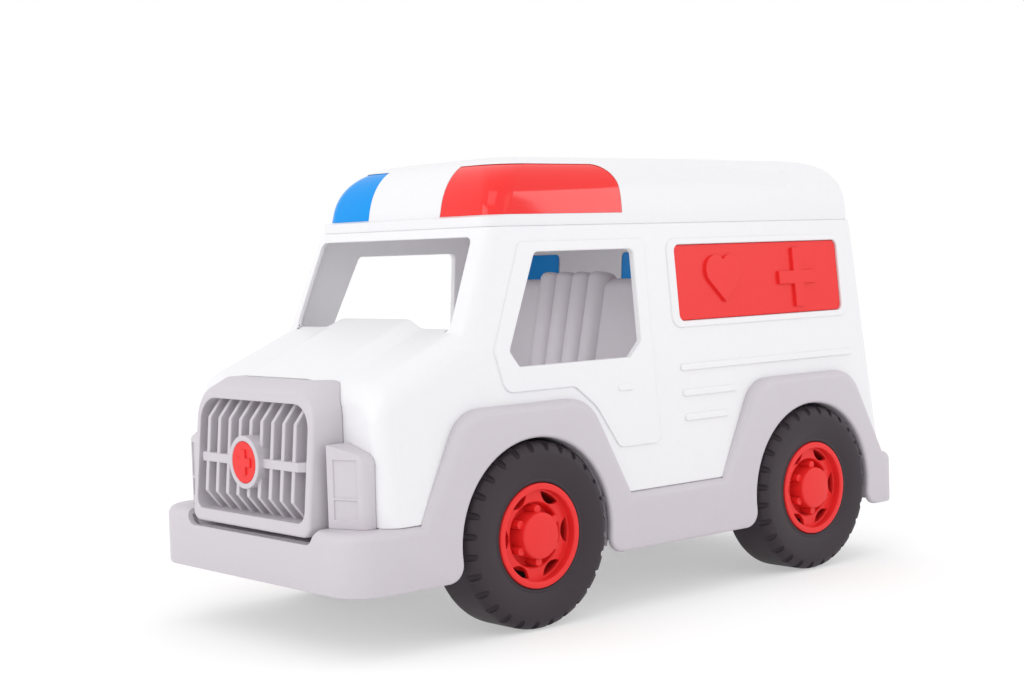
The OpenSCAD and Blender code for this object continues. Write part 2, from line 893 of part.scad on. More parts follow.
module side_panel_right() {
    color(blue_plastic) mirror([0, 1, 0]) side_panel();
}

// Grille: a deep frame that carries on the bonnet's raised middle, with upright slats on a thin back
function from_front(set_back) = half_length - set_back;
function grille_face_x(z) =
    from_front(grille_foot_set_back)
    - (grille_brow_set_back - grille_foot_set_back) * (z - grille_bottom) / (grille_top - grille_bottom);
function grille_roof_z(x) = bonnet_z(x) + bulge_rise + grille_proud;
grille_back_x = nose_x + grille_back_gap;
slat_root_x = grille_back_x - grille_back_gap / 2;

module grille_frame_form() {
    rear = nose_x - grille_rear_lap;
    brow = from_front(grille_brow_set_back);
    intersection() {
        across(rounded([
            [rear, grille_bottom, 0], [from_front(grille_foot_set_back), grille_bottom, 0],
            [brow, grille_roof_z(brow), grille_brow_r], [rear, grille_roof_z(rear), 0]]),
            -grille_half, grille_half);
        along(rounded([
            [-grille_half, grille_bottom, grille_foot_r], [grille_half, grille_bottom, grille_foot_r],
            [grille_half, grille_top, grille_corner_r], [-grille_half, grille_top, grille_corner_r]]),
            rear, half_length);
    }
}

module grille_slat(y) {
    low = grille_opening_bottom - overrun;
    high = grille_opening_top + overrun;
    foot = grille_face_x(low + slat_chamfer_height) - slat_set_in;
    brow = grille_face_x(high - slat_chamfer_height) - slat_set_in;
    across([
        [slat_root_x, low], [foot - slat_chamfer_depth, low], [foot, low + slat_chamfer_height],
        [brow, high - slat_chamfer_height], [brow - slat_chamfer_depth, high], [slat_root_x, high]],
        y - slat_width / 2, y + slat_width / 2);
}

module grille() {
    inner_half = grille_half - grille_frame;
    slat_pitch = 2 * inner_half / (slat_count + 1);
    face_x = grille_face_x(badge_z);
    ring_front = face_x + badge_ring_proud;
    color(grey_plastic) difference() {
        union() {
            difference() {
                grille_frame_form();
                along(rounded_box(
                    [-inner_half, grille_opening_bottom], [inner_half, grille_opening_top], grille_opening_r),
                    grille_back_x, half_length);
            }
            for (i = [1:slat_count]) grille_slat(i * slat_pitch - inner_half);
            translate([slat_root_x, -inner_half - overrun, badge_z - grille_bar_height / 2])
                cube([
                    face_x - grille_bar_set_in - slat_root_x, 2 * (inner_half + overrun), grille_bar_height]);
            translate([slat_root_x, 0, badge_z]) rotate([0, 90, 0])
                cylinder(r = badge_ring_r, h = ring_front - slat_root_x);
        }
        bonnet_form(-seat_gap, 0);
        translate([ring_front - badge_thickness, 0, badge_z]) rotate([0, 90, 0])
            cylinder(r = badge_r + badge_clearance, h = badge_thickness + overrun);
    }
}

module grille_badge() {
    rear = grille_face_x(badge_z) + badge_ring_proud - badge_thickness;
    size = 2 * badge_r * badge_plus_share;
    color(red_plastic) {
        translate([rear, 0, badge_z]) rotate([0, 90, 0]) cylinder(r = badge_r, h = badge_thickness);
        translate([rear, 0, badge_z]) rotate([90, 0, 90])
            linear_extrude(badge_thickness + badge_plus_proud) plus_shape(size, size * badge_plus_arm_share);
    }
}

// Headlamp blocks beside the grille, with a divided lamp panel let into the front
function lamp_face_x(y) =
    from_front(lamp_inner_front)
    - (lamp_outer_front - lamp_inner_front) * (y - grille_half) / (lamp_outer_y - grille_half);

module lamp_pocket(low, high) {
    inner = grille_half + lamp_pocket_border;
    outer = lamp_outer_y - lamp_pocket_border;
    translate([0, 0, low]) linear_extrude(high - low) polygon([
        [lamp_face_x(inner) - lamp_pocket_depth, inner], [lamp_face_x(outer) - lamp_pocket_depth, outer],
        [lamp_face_x(outer) + overrun, outer], [lamp_face_x(inner) + overrun, inner]]);
}

module headlamp() {
    inner = grille_half + seat_gap;
    rear = nose_x - lamp_depth;
    difference() {
        intersection() {
            translate([0, 0, deck_top]) linear_extrude(lamp_top - deck_top) polygon(rounded([
                [rear, inner, 0], [lamp_face_x(inner), inner, 0],
                [lamp_face_x(lamp_outer_y), lamp_outer_y, lamp_edge_r], [rear, lamp_outer_y, 0]]));
            along(rounded([
                [inner, deck_top, 0], [lamp_outer_y, deck_top, 0],
                [lamp_outer_y, lamp_top, lamp_corner_r], [inner, lamp_top, 0]]), rear, half_length);
        }
        bonnet_form(-seat_gap, 0);
        lamp_pocket(deck_top + lamp_pocket_border, lamp_divider_z - lamp_divider / 2);
        lamp_pocket(lamp_divider_z + lamp_divider / 2, lamp_top - lamp_pocket_border);
    }
}

module headlamp_left() {
    color(grey_plastic) headlamp();
}

module headlamp_right() {
    color(grey_plastic) mirror([0, 1, 0]) headlamp();
}

// Bench seat: a hollow moulding with a raised, fluted middle
module bench_seat() {
    face = seat_face_x;
    rear = seat_rear_x;
    front = seat_front_x;
    seat_middle_half = half_width * seat_middle_half_share;
    pitch = 2 * seat_middle_half / seat_flutes;
    r = pitch * seat_flute_r_share;
    color(grey_plastic) difference() {
        union() {
            across(rounded([
                [rear, deck_top, 0], [front, deck_top, 0], [front, seat_cushion_top, seat_corner_r],
                [face, seat_cushion_top, seat_wall], [face, seat_back_top, seat_corner_r],
                [rear, seat_back_top, seat_corner_r]]), -seat_half, seat_half);
            for (i = [0:seat_flutes - 1])
                translate([face + seat_flute_proud - r, (i + 1 / 2) * pitch - seat_middle_half, deck_top])
                    cylinder(r = r, h = seat_middle_top - deck_top);
        }
        across([
            [rear + seat_wall, deck_top - overrun], [front - seat_wall, deck_top - overrun],
            [front - seat_wall, seat_cushion_top - seat_wall],
            [face - seat_wall, seat_cushion_top - seat_wall],
            [face - seat_wall, seat_back_top - seat_wall], [rear + seat_wall, seat_back_top - seat_wall]],
            -seat_half + seat_wall, seat_half - seat_wall);
    }
}

// Axles and what holds the wheels on them
axle_half = tyre_inner_y + wheel_boss_length + seat_gap + push_nut_thickness + axle_end_proud;

module axle(x) {
    color(steel) translate([x, -axle_half, axle_z]) rotate([-90, 0, 0])
        cylinder(r = axle_r, h = 2 * axle_half);
}

module front_axle() {
    axle(front_axle_x);
}

module rear_axle() {
    axle(rear_axle_x);
}

module axle_push_nuts() {
    color(steel) for (x = [front_axle_x, rear_axle_x], side = [-1, 1])
        at_wheel(x, side) translate([0, 0, wheel_boss_length + seat_gap]) difference() {
            cylinder(r = push_nut_r, h = push_nut_thickness);
            translate([0, 0, -overrun])
                cylinder(r = axle_r + tight_clearance, h = push_nut_thickness + 2 * overrun);
        }
}

// Tyre: tread, outer side wall, hub seat, web and boss in one hollow moulding
module tyre() {
    bore_r = axle_r + running_clearance;
    seat_r = hub_r + hub_barrel_clearance;
    web_end = web_start + web_thickness;
    bulge_top = tyre_width + tyre_bulge;
    shoulder = [tyre_r - tyre_shoulder_r, bulge_top - tyre_shoulder_r];
    section = concat(
        [[bore_r, 0], [wheel_boss_r, 0], [wheel_boss_r, web_start], [seat_r + tyre_wall, web_start]],
        [[seat_r + tyre_wall, tyre_width - tyre_wall], [shoulder.x, bulge_top - tyre_wall]],
        [[tyre_r - tread_wall, shoulder.y]],
        arc([tyre_r - tread_wall, tread_wall], tread_wall, -90, 90, corner_steps),
        arc(shoulder, tyre_shoulder_r, 0, 90, corner_steps),
        [[seat_r + tyre_lip, tyre_width], [seat_r, tyre_width], [seat_r, web_end], [wheel_boss_r, web_end]],
        [[wheel_boss_r, wheel_boss_length], [bore_r, wheel_boss_length]]);
    color(black_plastic) difference() {
        rotate_extrude($fn = 96) polygon(section);
        for (i = [0:tread_notches - 1]) rotate(360 * i / tread_notches)
            translate([tyre_r - notch_depth, -notch_width / 2, shoulder.y - notch_length / 2])
                cube([notch_depth + overrun, notch_width, notch_length]);
    }
}

module tyre_front_left() {
    at_wheel(front_axle_x, 1) tyre();
}

module tyre_front_right() {
    at_wheel(front_axle_x, -1) tyre();
}

module tyre_rear_left() {
    at_wheel(rear_axle_x, 1) tyre();
}

module tyre_rear_right() {
    at_wheel(rear_axle_x, -1) tyre();
}

// Hub: a rim that plugs into the tyre, a dish with windows, and a hollow middle boss with lugs
module hub() {
    face = tyre_width + wheel_proud_hub;
    foot = web_start + web_thickness + seat_gap;
    dish = face - hub_dish_depth;
    rim_inner_r = hub_r - hub_rim_wall;
    boss_top = face - hub_boss_set_in;
    color(red_plastic) {
        difference() {
            rotate_extrude() polygon([
                [0, boss_top - hub_boss_wall], [hub_boss_r - hub_boss_wall, boss_top - hub_boss_wall],
                [hub_boss_r - hub_boss_wall, dish - hub_dish_wall], [rim_inner_r, dish - hub_dish_wall],
                [rim_inner_r, foot], [hub_r, foot], [hub_r, face], [rim_inner_r, face], [rim_inner_r, dish],
                [hub_boss_r, dish], [hub_boss_r, boss_top], [0, boss_top]]);
            for (i = [0:hub_spokes - 1]) rotate(360 * i / hub_spokes)
                translate([hub_window_circle_r, 0, dish - hub_dish_wall - overrun])
                    cylinder(r = hub_window_r, h = hub_dish_wall + 2 * overrun);
        }
        for (i = [0:hub_spokes - 1]) rotate(360 * (i + 1 / 2) / hub_spokes)
            translate([hub_lug_circle_r, 0, dish - hub_dish_wall / 2])
                cylinder(r = hub_lug_r, h = hub_dish_wall / 2 + hub_lug_height);
    }
}

module hub_front_left() {
    at_wheel(front_axle_x, 1) hub();
}

module hub_front_right() {
    at_wheel(front_axle_x, -1) hub();
}

module hub_rear_left() {
    at_wheel(rear_axle_x, 1) hub();
}

module hub_rear_right() {
    at_wheel(rear_axle_x, -1) hub();
}

// Rear door: a panel in the opening, a hinge leaf with its barrel, and a grip
module rear_door() {
    barrel_low = door_sill + knuckle_length + swing_gap;
    barrel_length = rear_door_height - 2 * (knuckle_length + swing_gap);
    grip_y = door_gap + door_handle_set_in;
    on_rear_wall() {
        difference() {
            union() {
                along(rounded_box(
                    [door_gap, door_sill], [rear_door_width, door_sill + rear_door_height],
                    opening_corner_r - door_gap), 0, door_thickness);
                translate([-hinge_leaf - swing_gap, rear_door_width - hinge_leaf_lap, barrel_low])
                    cube([hinge_leaf + swing_gap + door_thickness / 2, hinge_leaf_lap, barrel_length]);
                translate([-hinge_leaf - swing_gap, rear_door_width - overrun, barrel_low])
                    cube([hinge_leaf, hinge_y - rear_door_width + overrun, barrel_length]);
                translate([-hinge_set_out, hinge_y, barrel_low]) cylinder(r = knuckle_r, h = barrel_length);
                along(rounded_box(
                    [grip_y, door_sill + (rear_door_height - door_handle_height) / 2],
                    [grip_y + door_handle_width, door_sill + (rear_door_height + door_handle_height) / 2],
                    door_handle_width / 2 - seat_gap), -door_handle_proud, door_thickness / 2);
            }
            translate([-hinge_set_out, hinge_y, barrel_low - overrun])
                cylinder(r = hinge_pin_r + running_clearance, h = barrel_length + 2 * overrun);
        }
    }
}

module rear_door_left() {
    color(white_plastic) rear_door();
}

module rear_door_right() {
    color(white_plastic) mirror([0, 1, 0]) rear_door();
}

module hinge_pin() {
    on_rear_wall() translate([-hinge_set_out, hinge_y, door_sill])
        cylinder(r = hinge_pin_r, h = rear_door_height);
}

module hinge_pin_left() {
    color(steel) hinge_pin();
}

module hinge_pin_right() {
    color(steel) mirror([0, 1, 0]) hinge_pin();
}

// Screws that go up through the deck into the body's bosses
module body_screws() {
    color(steel) screw_places() translate([0, 0, -lower_wall]) {
        translate([0, 0, -screw_head_height]) cylinder(r = screw_head_r, h = screw_head_height);
        translate([0, 0, -screw_head_height / 2])
            cylinder(r = screw_r, h = screw_head_height / 2 + screw_length);
    }
}

lower_body();
body_shell();
roof_cap();
grille();
grille_badge();
headlamp_left();
headlamp_right();
roof_light_left();
roof_light_right();
side_panel_left();
side_panel_right();
bench_seat();
front_axle();
rear_axle();
axle_push_nuts();
tyre_front_left();
tyre_front_right();
tyre_rear_left();
tyre_rear_right();
hub_front_left();
hub_front_right();
hub_rear_left();
hub_rear_right();
rear_door_left();
rear_door_right();
hinge_pin_left();
hinge_pin_right();
body_screws();
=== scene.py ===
import math
import bmesh
import bpy
from mathutils import Matrix, Vector


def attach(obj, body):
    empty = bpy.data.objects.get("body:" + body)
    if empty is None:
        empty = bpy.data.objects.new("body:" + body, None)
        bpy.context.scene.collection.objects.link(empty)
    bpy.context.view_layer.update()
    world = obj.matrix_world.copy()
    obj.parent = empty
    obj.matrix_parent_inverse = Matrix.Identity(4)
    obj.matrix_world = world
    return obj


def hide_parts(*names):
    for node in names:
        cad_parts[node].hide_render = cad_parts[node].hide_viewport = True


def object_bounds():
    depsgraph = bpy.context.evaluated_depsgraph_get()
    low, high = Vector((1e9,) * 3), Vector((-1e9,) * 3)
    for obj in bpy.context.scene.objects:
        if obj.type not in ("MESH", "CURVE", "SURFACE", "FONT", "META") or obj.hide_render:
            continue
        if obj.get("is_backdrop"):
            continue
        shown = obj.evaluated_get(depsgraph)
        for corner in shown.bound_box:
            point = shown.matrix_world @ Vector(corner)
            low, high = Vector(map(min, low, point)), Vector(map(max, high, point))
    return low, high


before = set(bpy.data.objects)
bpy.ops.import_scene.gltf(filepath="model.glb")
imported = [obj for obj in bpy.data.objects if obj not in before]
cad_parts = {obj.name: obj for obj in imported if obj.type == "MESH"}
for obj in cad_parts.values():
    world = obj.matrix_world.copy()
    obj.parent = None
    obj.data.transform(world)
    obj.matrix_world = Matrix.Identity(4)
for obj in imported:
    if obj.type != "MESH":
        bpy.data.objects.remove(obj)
cad_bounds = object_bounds()

# The look of a toy ambulance. Shapes are made in millimetres in the shared frame and stored in metres.
MM = 0.001
CORNER_STEPS = 8
CURVE_STEPS = 24
WELD = 0.003
BEVEL_STEPS = 3

# Main places
HALF_LENGTH = 213.5
HALF_WIDTH = 94.5
HEIGHT = 255
FRONT_AXLE_X = 92.02
REAR_AXLE_X = -133.99
AXLE_Z = 50
SKIRT_BOTTOM = 33
DECK_TOP = 65
SEAM_Z = 213.7
NOSE_X = 190
BODY_REAR_X = -206.5
GAP = 0.2
OVERRUN = 1
LONG_OVERRUN = 2

# White body: planes that lean in, then the bonnet with its raised middle
WALL = 3
BODY_SET_IN = 2.9
SIDE_SLOPE = math.tan(math.radians(5))
SCREEN_LEAN = math.radians(21.6)
BONNET_SLOPE = math.tan(math.radians(23.5))
REAR_LEAN_RUN = 9
REAR_LEAN = math.atan(REAR_LEAN_RUN / (SEAM_Z - DECK_TOP))
SCREEN_TOP_X = 109.1
COWL_Z = 159.3
COWL_X = SCREEN_TOP_X + math.tan(SCREEN_LEAN) * (SEAM_Z - COWL_Z)
SHOULDER_R = 15
NOSE_R = 10
NOSE_DROP_SHARE = 0.8
PILLAR_R = 12
REAR_CORNER_R = 8
BULGE_RISE = 4
BULGE_INNER_Y = 28
BULGE_OUTER_Y = 46
BULGE_STEPS = 12
NOSE_STEPS = 14
BONNET_LAP = 30

# Wheel arches
ARCH_R = 52.5
ARCH_Z = 49.5
ARCH_LIP_R = 9
ARCH_EDGE_R = 2
TUB_INNER_Y = 57.5
TUB_WALL = 3
TUB_CLEARANCE = 1


def arc(centre, r, start, turn, steps=CORNER_STEPS):
    """Points on an arc, with angles in degrees."""
    angles = [math.radians(start + turn * i / steps) for i in range(steps + 1)]
    return [(centre[0] + r * math.cos(a), centre[1] + r * math.sin(a)) for a in angles]


def circle(x, y, r, steps=2 * CURVE_STEPS):
    return arc((x, y), r, 0, 360, steps)[:-1]


def rounded(corners, steps=CORNER_STEPS):
    """An outline from corners given as (x, y, radius)."""
    points = []
    for i, (x, y, r) in enumerate(corners):
        corner = Vector((x, y))
        if r == 0:
            points.append((x, y))
            continue
        before = (Vector(corners[i - 1][:2]) - corner).normalized()
        after = (Vector(corners[(i + 1) % len(corners)][:2]) - corner).normalized()
        half = before.angle(after) / 2
        centre = corner + (before + after).normalized() * r / math.sin(half)
        first = corner + before * r / math.tan(half) - centre
        last = corner + after * r / math.tan(half) - centre
        turn = math.atan2(first.x * last.y - first.y * last.x, first.dot(last))
        points += arc(centre, r, math.degrees(math.atan2(first.y, first.x)), math.degrees(turn), steps)
    return points


def box_outline(x0, y0, x1, y1, r):
    return rounded([(x0, y0, r), (x1, y0, r), (x1, y1, r), (x0, y1, r)])


def plan_outline(rear, front, half, rear_r, front_r):
    return rounded([
        (rear, -half, rear_r), (front, -half, front_r), (front, half, front_r), (rear, half, rear_r)])


def ease(t):
    t = min(max(t, 0), 1)
    return t * t * (3 - 2 * t)


def linked(name, data):
    """A new object in the scene for a mesh, a light or a camera."""
    thing = bpy.data.objects.new(name, data)
    bpy.context.scene.collection.objects.link(thing)
    return thing


def meshed(name, bm):
    """A new object from a bmesh, which it uses up."""
    mesh = bpy.data.meshes.new(name)
    bm.to_mesh(mesh)
    bm.free()
    return linked(name, mesh)


def form(bm):
    """A scratch object from a bmesh, with its faces turned outwards."""
    bmesh.ops.recalc_face_normals(bm, faces=bm.faces)
    return meshed("form", bm)


def discard(shape):
    mesh = shape.data
    bpy.data.objects.remove(shape)
    bpy.data.meshes.remove(mesh)


def loft(rings):
    """A closed solid through rings of equally many points."""
    bm = bmesh.new()
    loops = [[bm.verts.new(point) for point in ring] for ring in rings]
    for low, high in zip(loops, loops[1:]):
        for i in range(len(low)):
            j = (i + 1) % len(low)
            bm.faces.new((low[i], low[j], high[j], high[i]))
    bm.faces.new(loops[0])
    bm.faces.new(loops[-1])
    return form(bm)


def across(outline, y0, y1):
    """A solid from an outline of (x, z) points, drawn out along Y."""
    return loft([[(x, y, z) for x, z in outline] for y in (y0, y1)])


def along(outline, x0, x1):
    """A solid from an outline of (y, z) points, drawn out along X."""
    return loft([[(x, y, z) for y, z in outline] for x in (x0, x1)])


def upright(outline, z0, z1):
    """A solid from an outline of (x, y) points, drawn out along Z."""
    return loft([[(x, y, z) for x, y in outline] for z in (z0, z1)])


def lathe(section, steps=4 * CURVE_STEPS):
    """A solid turned about Z from a closed outline of (radius, height) points."""
    bm = bmesh.new()
    verts = [bm.verts.new((r, 0, z)) for r, z in section]
    edges = [bm.edges.new((verts[i - 1], verts[i])) for i in range(len(verts))]
    bmesh.ops.spin(
        bm, geom=verts + edges, cent=(0, 0, 0), axis=(0, 0, 1), angle=2 * math.pi, steps=steps,
        use_merge=True)
    bmesh.ops.remove_doubles(bm, verts=bm.verts, dist=WELD)
    return form(bm)


def placed(shape, matrix):
    shape.data.transform(matrix)
    if matrix.determinant() < 0:
        shape.data.flip_normals()
    return shape


def copied(shape):
    return linked("form", shape.data.copy())


MIRROR_Y = Matrix.Diagonal((1, -1, 1, 1))


def mirrored(shape):
    return placed(copied(shape), MIRROR_Y)


def both(shape):
    return [shape, mirrored(shape)]


def combined(kind, base, tools):
    """One boolean of a form with others, which it uses up."""
    for tool in tools:
        step = base.modifiers.new(kind, "BOOLEAN")
        step.operation = kind
        step.solver = "EXACT"
        step.object = tool
    graph = bpy.context.evaluated_depsgraph_get()
    result = bpy.data.meshes.new_from_object(base.evaluated_get(graph))
    base.modifiers.clear()
    old = base.data
    base.data = result
    bpy.data.meshes.remove(old)
    for tool in tools:
        discard(tool)
    return base


def cut(base, *tools):
    return combined("DIFFERENCE", base, tools)


def fused(base, *tools):
    return combined("UNION", base, tools)


def shared(base, *tools):
    return combined("INTERSECT", base, tools)


def gathered(*shapes):
    """Several forms as loose shells of one mesh."""
    bm = bmesh.new()
    for shape in shapes:
        bm.from_mesh(shape.data)
        discard(shape)
    return meshed("form", bm)


# Materials: moulded plastic with a fine grain, and drawn steel
GRAIN_SCALE = 260
GRAIN_DETAIL = 4
GLOSS_SPREAD = 0.1


def moulded(name, colour, roughness, grain=0.03, shine=0.5):
    """A plastic whose tint and gloss vary a little with its grain."""
    material = bpy.data.materials.new(name)
    material.use_nodes = True
    nodes = material.node_tree.nodes
    links = material.node_tree.links
    shader = nodes["Principled BSDF"]
    shader.inputs["Specular IOR Level"].default_value = shine
    place = nodes.new("ShaderNodeTexCoord")
    noise = nodes.new("ShaderNodeTexNoise")
    noise.inputs["Scale"].default_value = GRAIN_SCALE
    noise.inputs["Detail"].default_value = GRAIN_DETAIL
    links.new(place.outputs["Object"], noise.inputs["Vector"])
    tint = nodes.new("ShaderNodeMix")
    tint.data_type = "RGBA"
    tint.inputs["A"].default_value = [c * (1 - grain) for c in colour] + [1]
    tint.inputs["B"].default_value = list(colour) + [1]
    links.new(noise.outputs["Fac"], tint.inputs["Factor"])
    links.new(tint.outputs["Result"], shader.inputs["Base Color"])
    gloss = nodes.new("ShaderNodeMapRange")
    gloss.inputs["To Min"].default_value = roughness * (1 - GLOSS_SPREAD)
    gloss.inputs["To Max"].default_value = roughness * (1 + GLOSS_SPREAD)
    links.new(noise.outputs["Fac"], gloss.inputs["Value"])
    links.new(gloss.outputs["Result"], shader.inputs["Roughness"])
    return material


white = moulded("white plastic", (0.82, 0.815, 0.835), roughness=0.36)
grey = moulded("grey plastic", (0.585, 0.545, 0.59), roughness=0.42)
red = moulded("red plastic", (0.83, 0.03, 0.03), roughness=0.32, shine=0.25)
blue = moulded("blue plastic", (0.0, 0.29, 0.8), roughness=0.32, shine=0.25)
red_lens = moulded("red lens", (0.86, 0.014, 0.012), roughness=0.08)
blue_lens = moulded("blue lens", (0.0, 0.29, 0.8), roughness=0.12, shine=0.15)
black = moulded("tyre plastic", (0.04, 0.03, 0.037), roughness=0.5, grain=0.12, shine=0.25)
steel = moulded("drawn steel", (0.62, 0.62, 0.64), roughness=0.3)
steel.node_tree.nodes["Principled BSDF"].inputs["Metallic"].default_value = 1


def piece(node, shape, material, body, bevel=0.0, sharp=35):
    """Finishes a form as a shown piece that rides a body and stands for a CAD node."""
    bm = bmesh.new()
    bm.from_mesh(shape.data)
    bmesh.ops.remove_doubles(bm, verts=bm.verts, dist=WELD)
    bmesh.ops.dissolve_degenerate(bm, edges=bm.edges, dist=WELD)
    for face in bm.faces:
        face.smooth = True
    bm.to_mesh(shape.data)
    bm.free()
    shape.data.transform(Matrix.Scale(MM, 4))
    shape.data.set_sharp_from_angle(angle=math.radians(sharp))
    shape.data.materials.clear()
    shape.data.materials.append(material)
    shape.name = node + "_look"
    shape.data.name = shape.name
    if bevel:
        edge = shape.modifiers.new("soft edges", "BEVEL")
        edge.width = bevel * MM
        edge.segments = BEVEL_STEPS
        edge.limit_method = "ANGLE"
        edge.angle_limit = math.radians(sharp)
        edge.use_clamp_overlap = False
        edge.harden_normals = True
    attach(shape, body)
    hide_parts(node)


def body_half(z):
    return HALF_WIDTH - BODY_SET_IN - SIDE_SLOPE * (z - DECK_TOP)


def rear_x(z):
    return BODY_REAR_X + math.tan(REAR_LEAN) * (z - DECK_TOP)


def screen_x(z):
    return SCREEN_TOP_X + math.tan(SCREEN_LEAN) * (SEAM_Z - z)


def bonnet_z(x):
    return COWL_Z - BONNET_SLOPE * (x - COWL_X)


def box_form(inset, low, high):
    """The cab and the compartment as one solid, drawn in by an inset."""
    rings = []
    for z in (low, high):
        outline = plan_outline(
            rear_x(z) + inset, screen_x(z) - inset / math.cos(SCREEN_LEAN), body_half(z) - inset,
            REAR_CORNER_R - inset, PILLAR_R - inset)
        rings.append([(x, y, z) for x, y in outline])
    return loft(rings)


def bonnet_ring(x, drawn_in, inset, low):
    """The bonnet cut across at x, with its sides drawn in and its middle raised."""
    side_z = bonnet_z(x) - inset - (drawn_in - inset) * NOSE_DROP_SHARE
    middle_z = bonnet_z(x) + BULGE_RISE - inset
    r = SHOULDER_R - inset
    shoulder = (body_half(side_z - r) - drawn_in - r, side_z - r)
    half = [(body_half(low) - drawn_in, low)] + arc(shoulder, r, 0, 90, BULGE_STEPS)
    for i in range(BULGE_STEPS, -1, -1):
        t = i / BULGE_STEPS
        y = BULGE_INNER_Y + (BULGE_OUTER_Y - BULGE_INNER_Y) * t
        half.append((y, middle_z + (side_z - middle_z) * ease(t)))
    return [(x, y, z) for y, z in half] + [(x, -y, z) for y, z in reversed(half)]


def bonnet_form(inset, low):
    """The bonnet as a solid that reaches back into the cab, rounded towards the nose."""
    rings = [bonnet_ring(COWL_X - BONNET_LAP, inset, inset, low)]
    for i in range(NOSE_STEPS + 1):
        a = math.radians(90 * i / NOSE_STEPS)
        x = NOSE_X - NOSE_R + (NOSE_R - inset) * math.sin(a)
        rings.append(bonnet_ring(x, NOSE_R - (NOSE_R - inset) * math.cos(a), inset, low))
    return loft(rings)


def side_layer(outline, outer, inner):
    """A plate on the left wall in the shape of an outline seen from the side, between two depths."""
    return loft([[(x, body_half(z) - depth, z) for x, z in outline] for depth in (inner, outer)])


def arch_outline(x, grown):
    """A wheel arch seen from the side, open below, with its lower corners rounded off."""
    reach_r = ARCH_R + ARCH_LIP_R
    drop = ARCH_Z - SKIRT_BOTTOM - ARCH_LIP_R
    reach = math.sqrt(reach_r ** 2 - drop ** 2)
    dip = math.degrees(math.asin(drop / reach_r))
    right = arc((x + reach, SKIRT_BOTTOM + ARCH_LIP_R), ARCH_LIP_R - grown, -90, -90 - dip)
    top = arc((x, ARCH_Z), ARCH_R + grown, -dip, 180 + 2 * dip, 2 * CURVE_STEPS)
    left = [(2 * x - px, pz) for px, pz in reversed(right)]
    low = SKIRT_BOTTOM - 2 * ARCH_LIP_R
    return [(x + reach, low)] + right + top[1:-1] + left + [(x - reach, low)]


def arch_form(x):
    """What is cut for one wheel: the arch, opening out over its rounded outer edge."""
    rings = [(TUB_INNER_Y + TUB_WALL, 0)]
    for i in range(CORNER_STEPS + 1):
        a = math.radians(90 * i / CORNER_STEPS)
        rings.append((HALF_WIDTH - ARCH_EDGE_R * (1 - math.sin(a)), ARCH_EDGE_R * (1 - math.cos(a))))
    rings.append((HALF_WIDTH + OVERRUN, ARCH_EDGE_R))
    return loft([[(px, y, pz) for px, pz in arch_outline(x, grown)] for y, grown in rings])


# Left door, windows and side panel, seen from the side
DOOR_WINDOW = rounded([
    (95.3, 139.4, 2.5), (101.5, 147.9, 2.5), (77.9, 199.7, 3.5), (3.7, 199.7, 3.5), (3.7, 147.9, 2.5),
    (13.2, 139.4, 2.5)])
DOOR = rounded([
    (88.4, 205.5, 3), (112.2, 148.7, 4), (106.5, 126, 7), (57, 126, 8), (42, 114, 30), (27, 90, 6),
    (-5.5, 90, 5), (-5.5, 205.5, 3)])
DOOR_PROUD = 1
PANEL_FRONT = -30
PANEL_REAR = -177
PANEL_BOTTOM = 157.4
PANEL_TOP = 200.9
PANEL_CORNER_R = 4
PANEL_POCKET = 2.4

# Round each panel: a rim that is wider in front, and two openings behind it with a bar between
PANEL_RIM = {"front": 6.5, "rear": 5, "below": 4, "above": 4, "r": 7}
PANEL_RIM_PROUD = 0.9
PANEL_LAP = 4
PANEL_BAR_FRONT = -86
PANEL_BAR_REAR = -144
PANEL_WINDOW_R = 3

# Ribs and the door handle, each as its front end, length and level
RIBS = ((-27, 155.5, 130.7), (-27, 46, 116), (-27, 36.6, 102))
RIB_PROUD = 1.2
HANDLE = (25, 12, 123)
HANDLE_PROUD = 1.8
RIB_HALF = 2
RIB_END_R = 1.9
RELIEF_ROOT = 1


def panel_outline(front, rear, below, above, r):
    """A side panel's outline seen from the side, grown by a width on each side."""
    return box_outline(PANEL_REAR - rear, PANEL_BOTTOM - below, PANEL_FRONT + front, PANEL_TOP + above, r)


PANEL_HOLE = panel_outline(GAP, GAP, GAP, GAP, PANEL_CORNER_R)

# Windscreen seen from the front, and the rear wall with its doors, hinges and window
WINDSCREEN = rounded([(-70.5, 157, 8), (70.5, 157, 8), (67.8, 208.4, 4), (-67.8, 208.4, 4)])
WINDSCREEN_REACH = 50
ON_REAR = Matrix.Translation((BODY_REAR_X, 0, DECK_TOP)) @ Matrix.Rotation(REAR_LEAN, 4, "Y")
DOOR_WIDTH = 62.37
DOOR_SILL = 9
DOOR_HEIGHT = 88
DOOR_GAP = 0.6
DOOR_OPENING_R = 4
HINGE_Y = 67.37
HINGE_OUT = 3.8
KNUCKLE_R = 3.2
KNUCKLE_LENGTH = 8
KNUCKLE_ROOT_R = 0.2
REAR_WINDOW = box_outline(-53.1, 107, 53.1, 139, 8)

# Left screw bosses: their places seen from above, and the ribs that tie them to the walls
SCREW_PLACES = ((177, 40.8), (-57.25, 79.6))
SCREW_RIBS = ((181, 39.3, 188.5, 42.3), (-58.75, 84, -55.75, 88))
SCREW_RIB_EDGE_R = 0.3
SCREW_BOSS_R = 5
SCREW_BOSS_HEIGHT = 24
SCREW_HOLE_R = 1.7
SCREW_HOLE_DEPTH = 14


def side_bar(front, length, level, proud):
    """A raised bar with round ends on the left wall."""
    outline = box_outline(front - length, level - RIB_HALF, front, level + RIB_HALF, RIB_END_R)
    return side_layer(outline, -proud, RELIEF_ROOT)


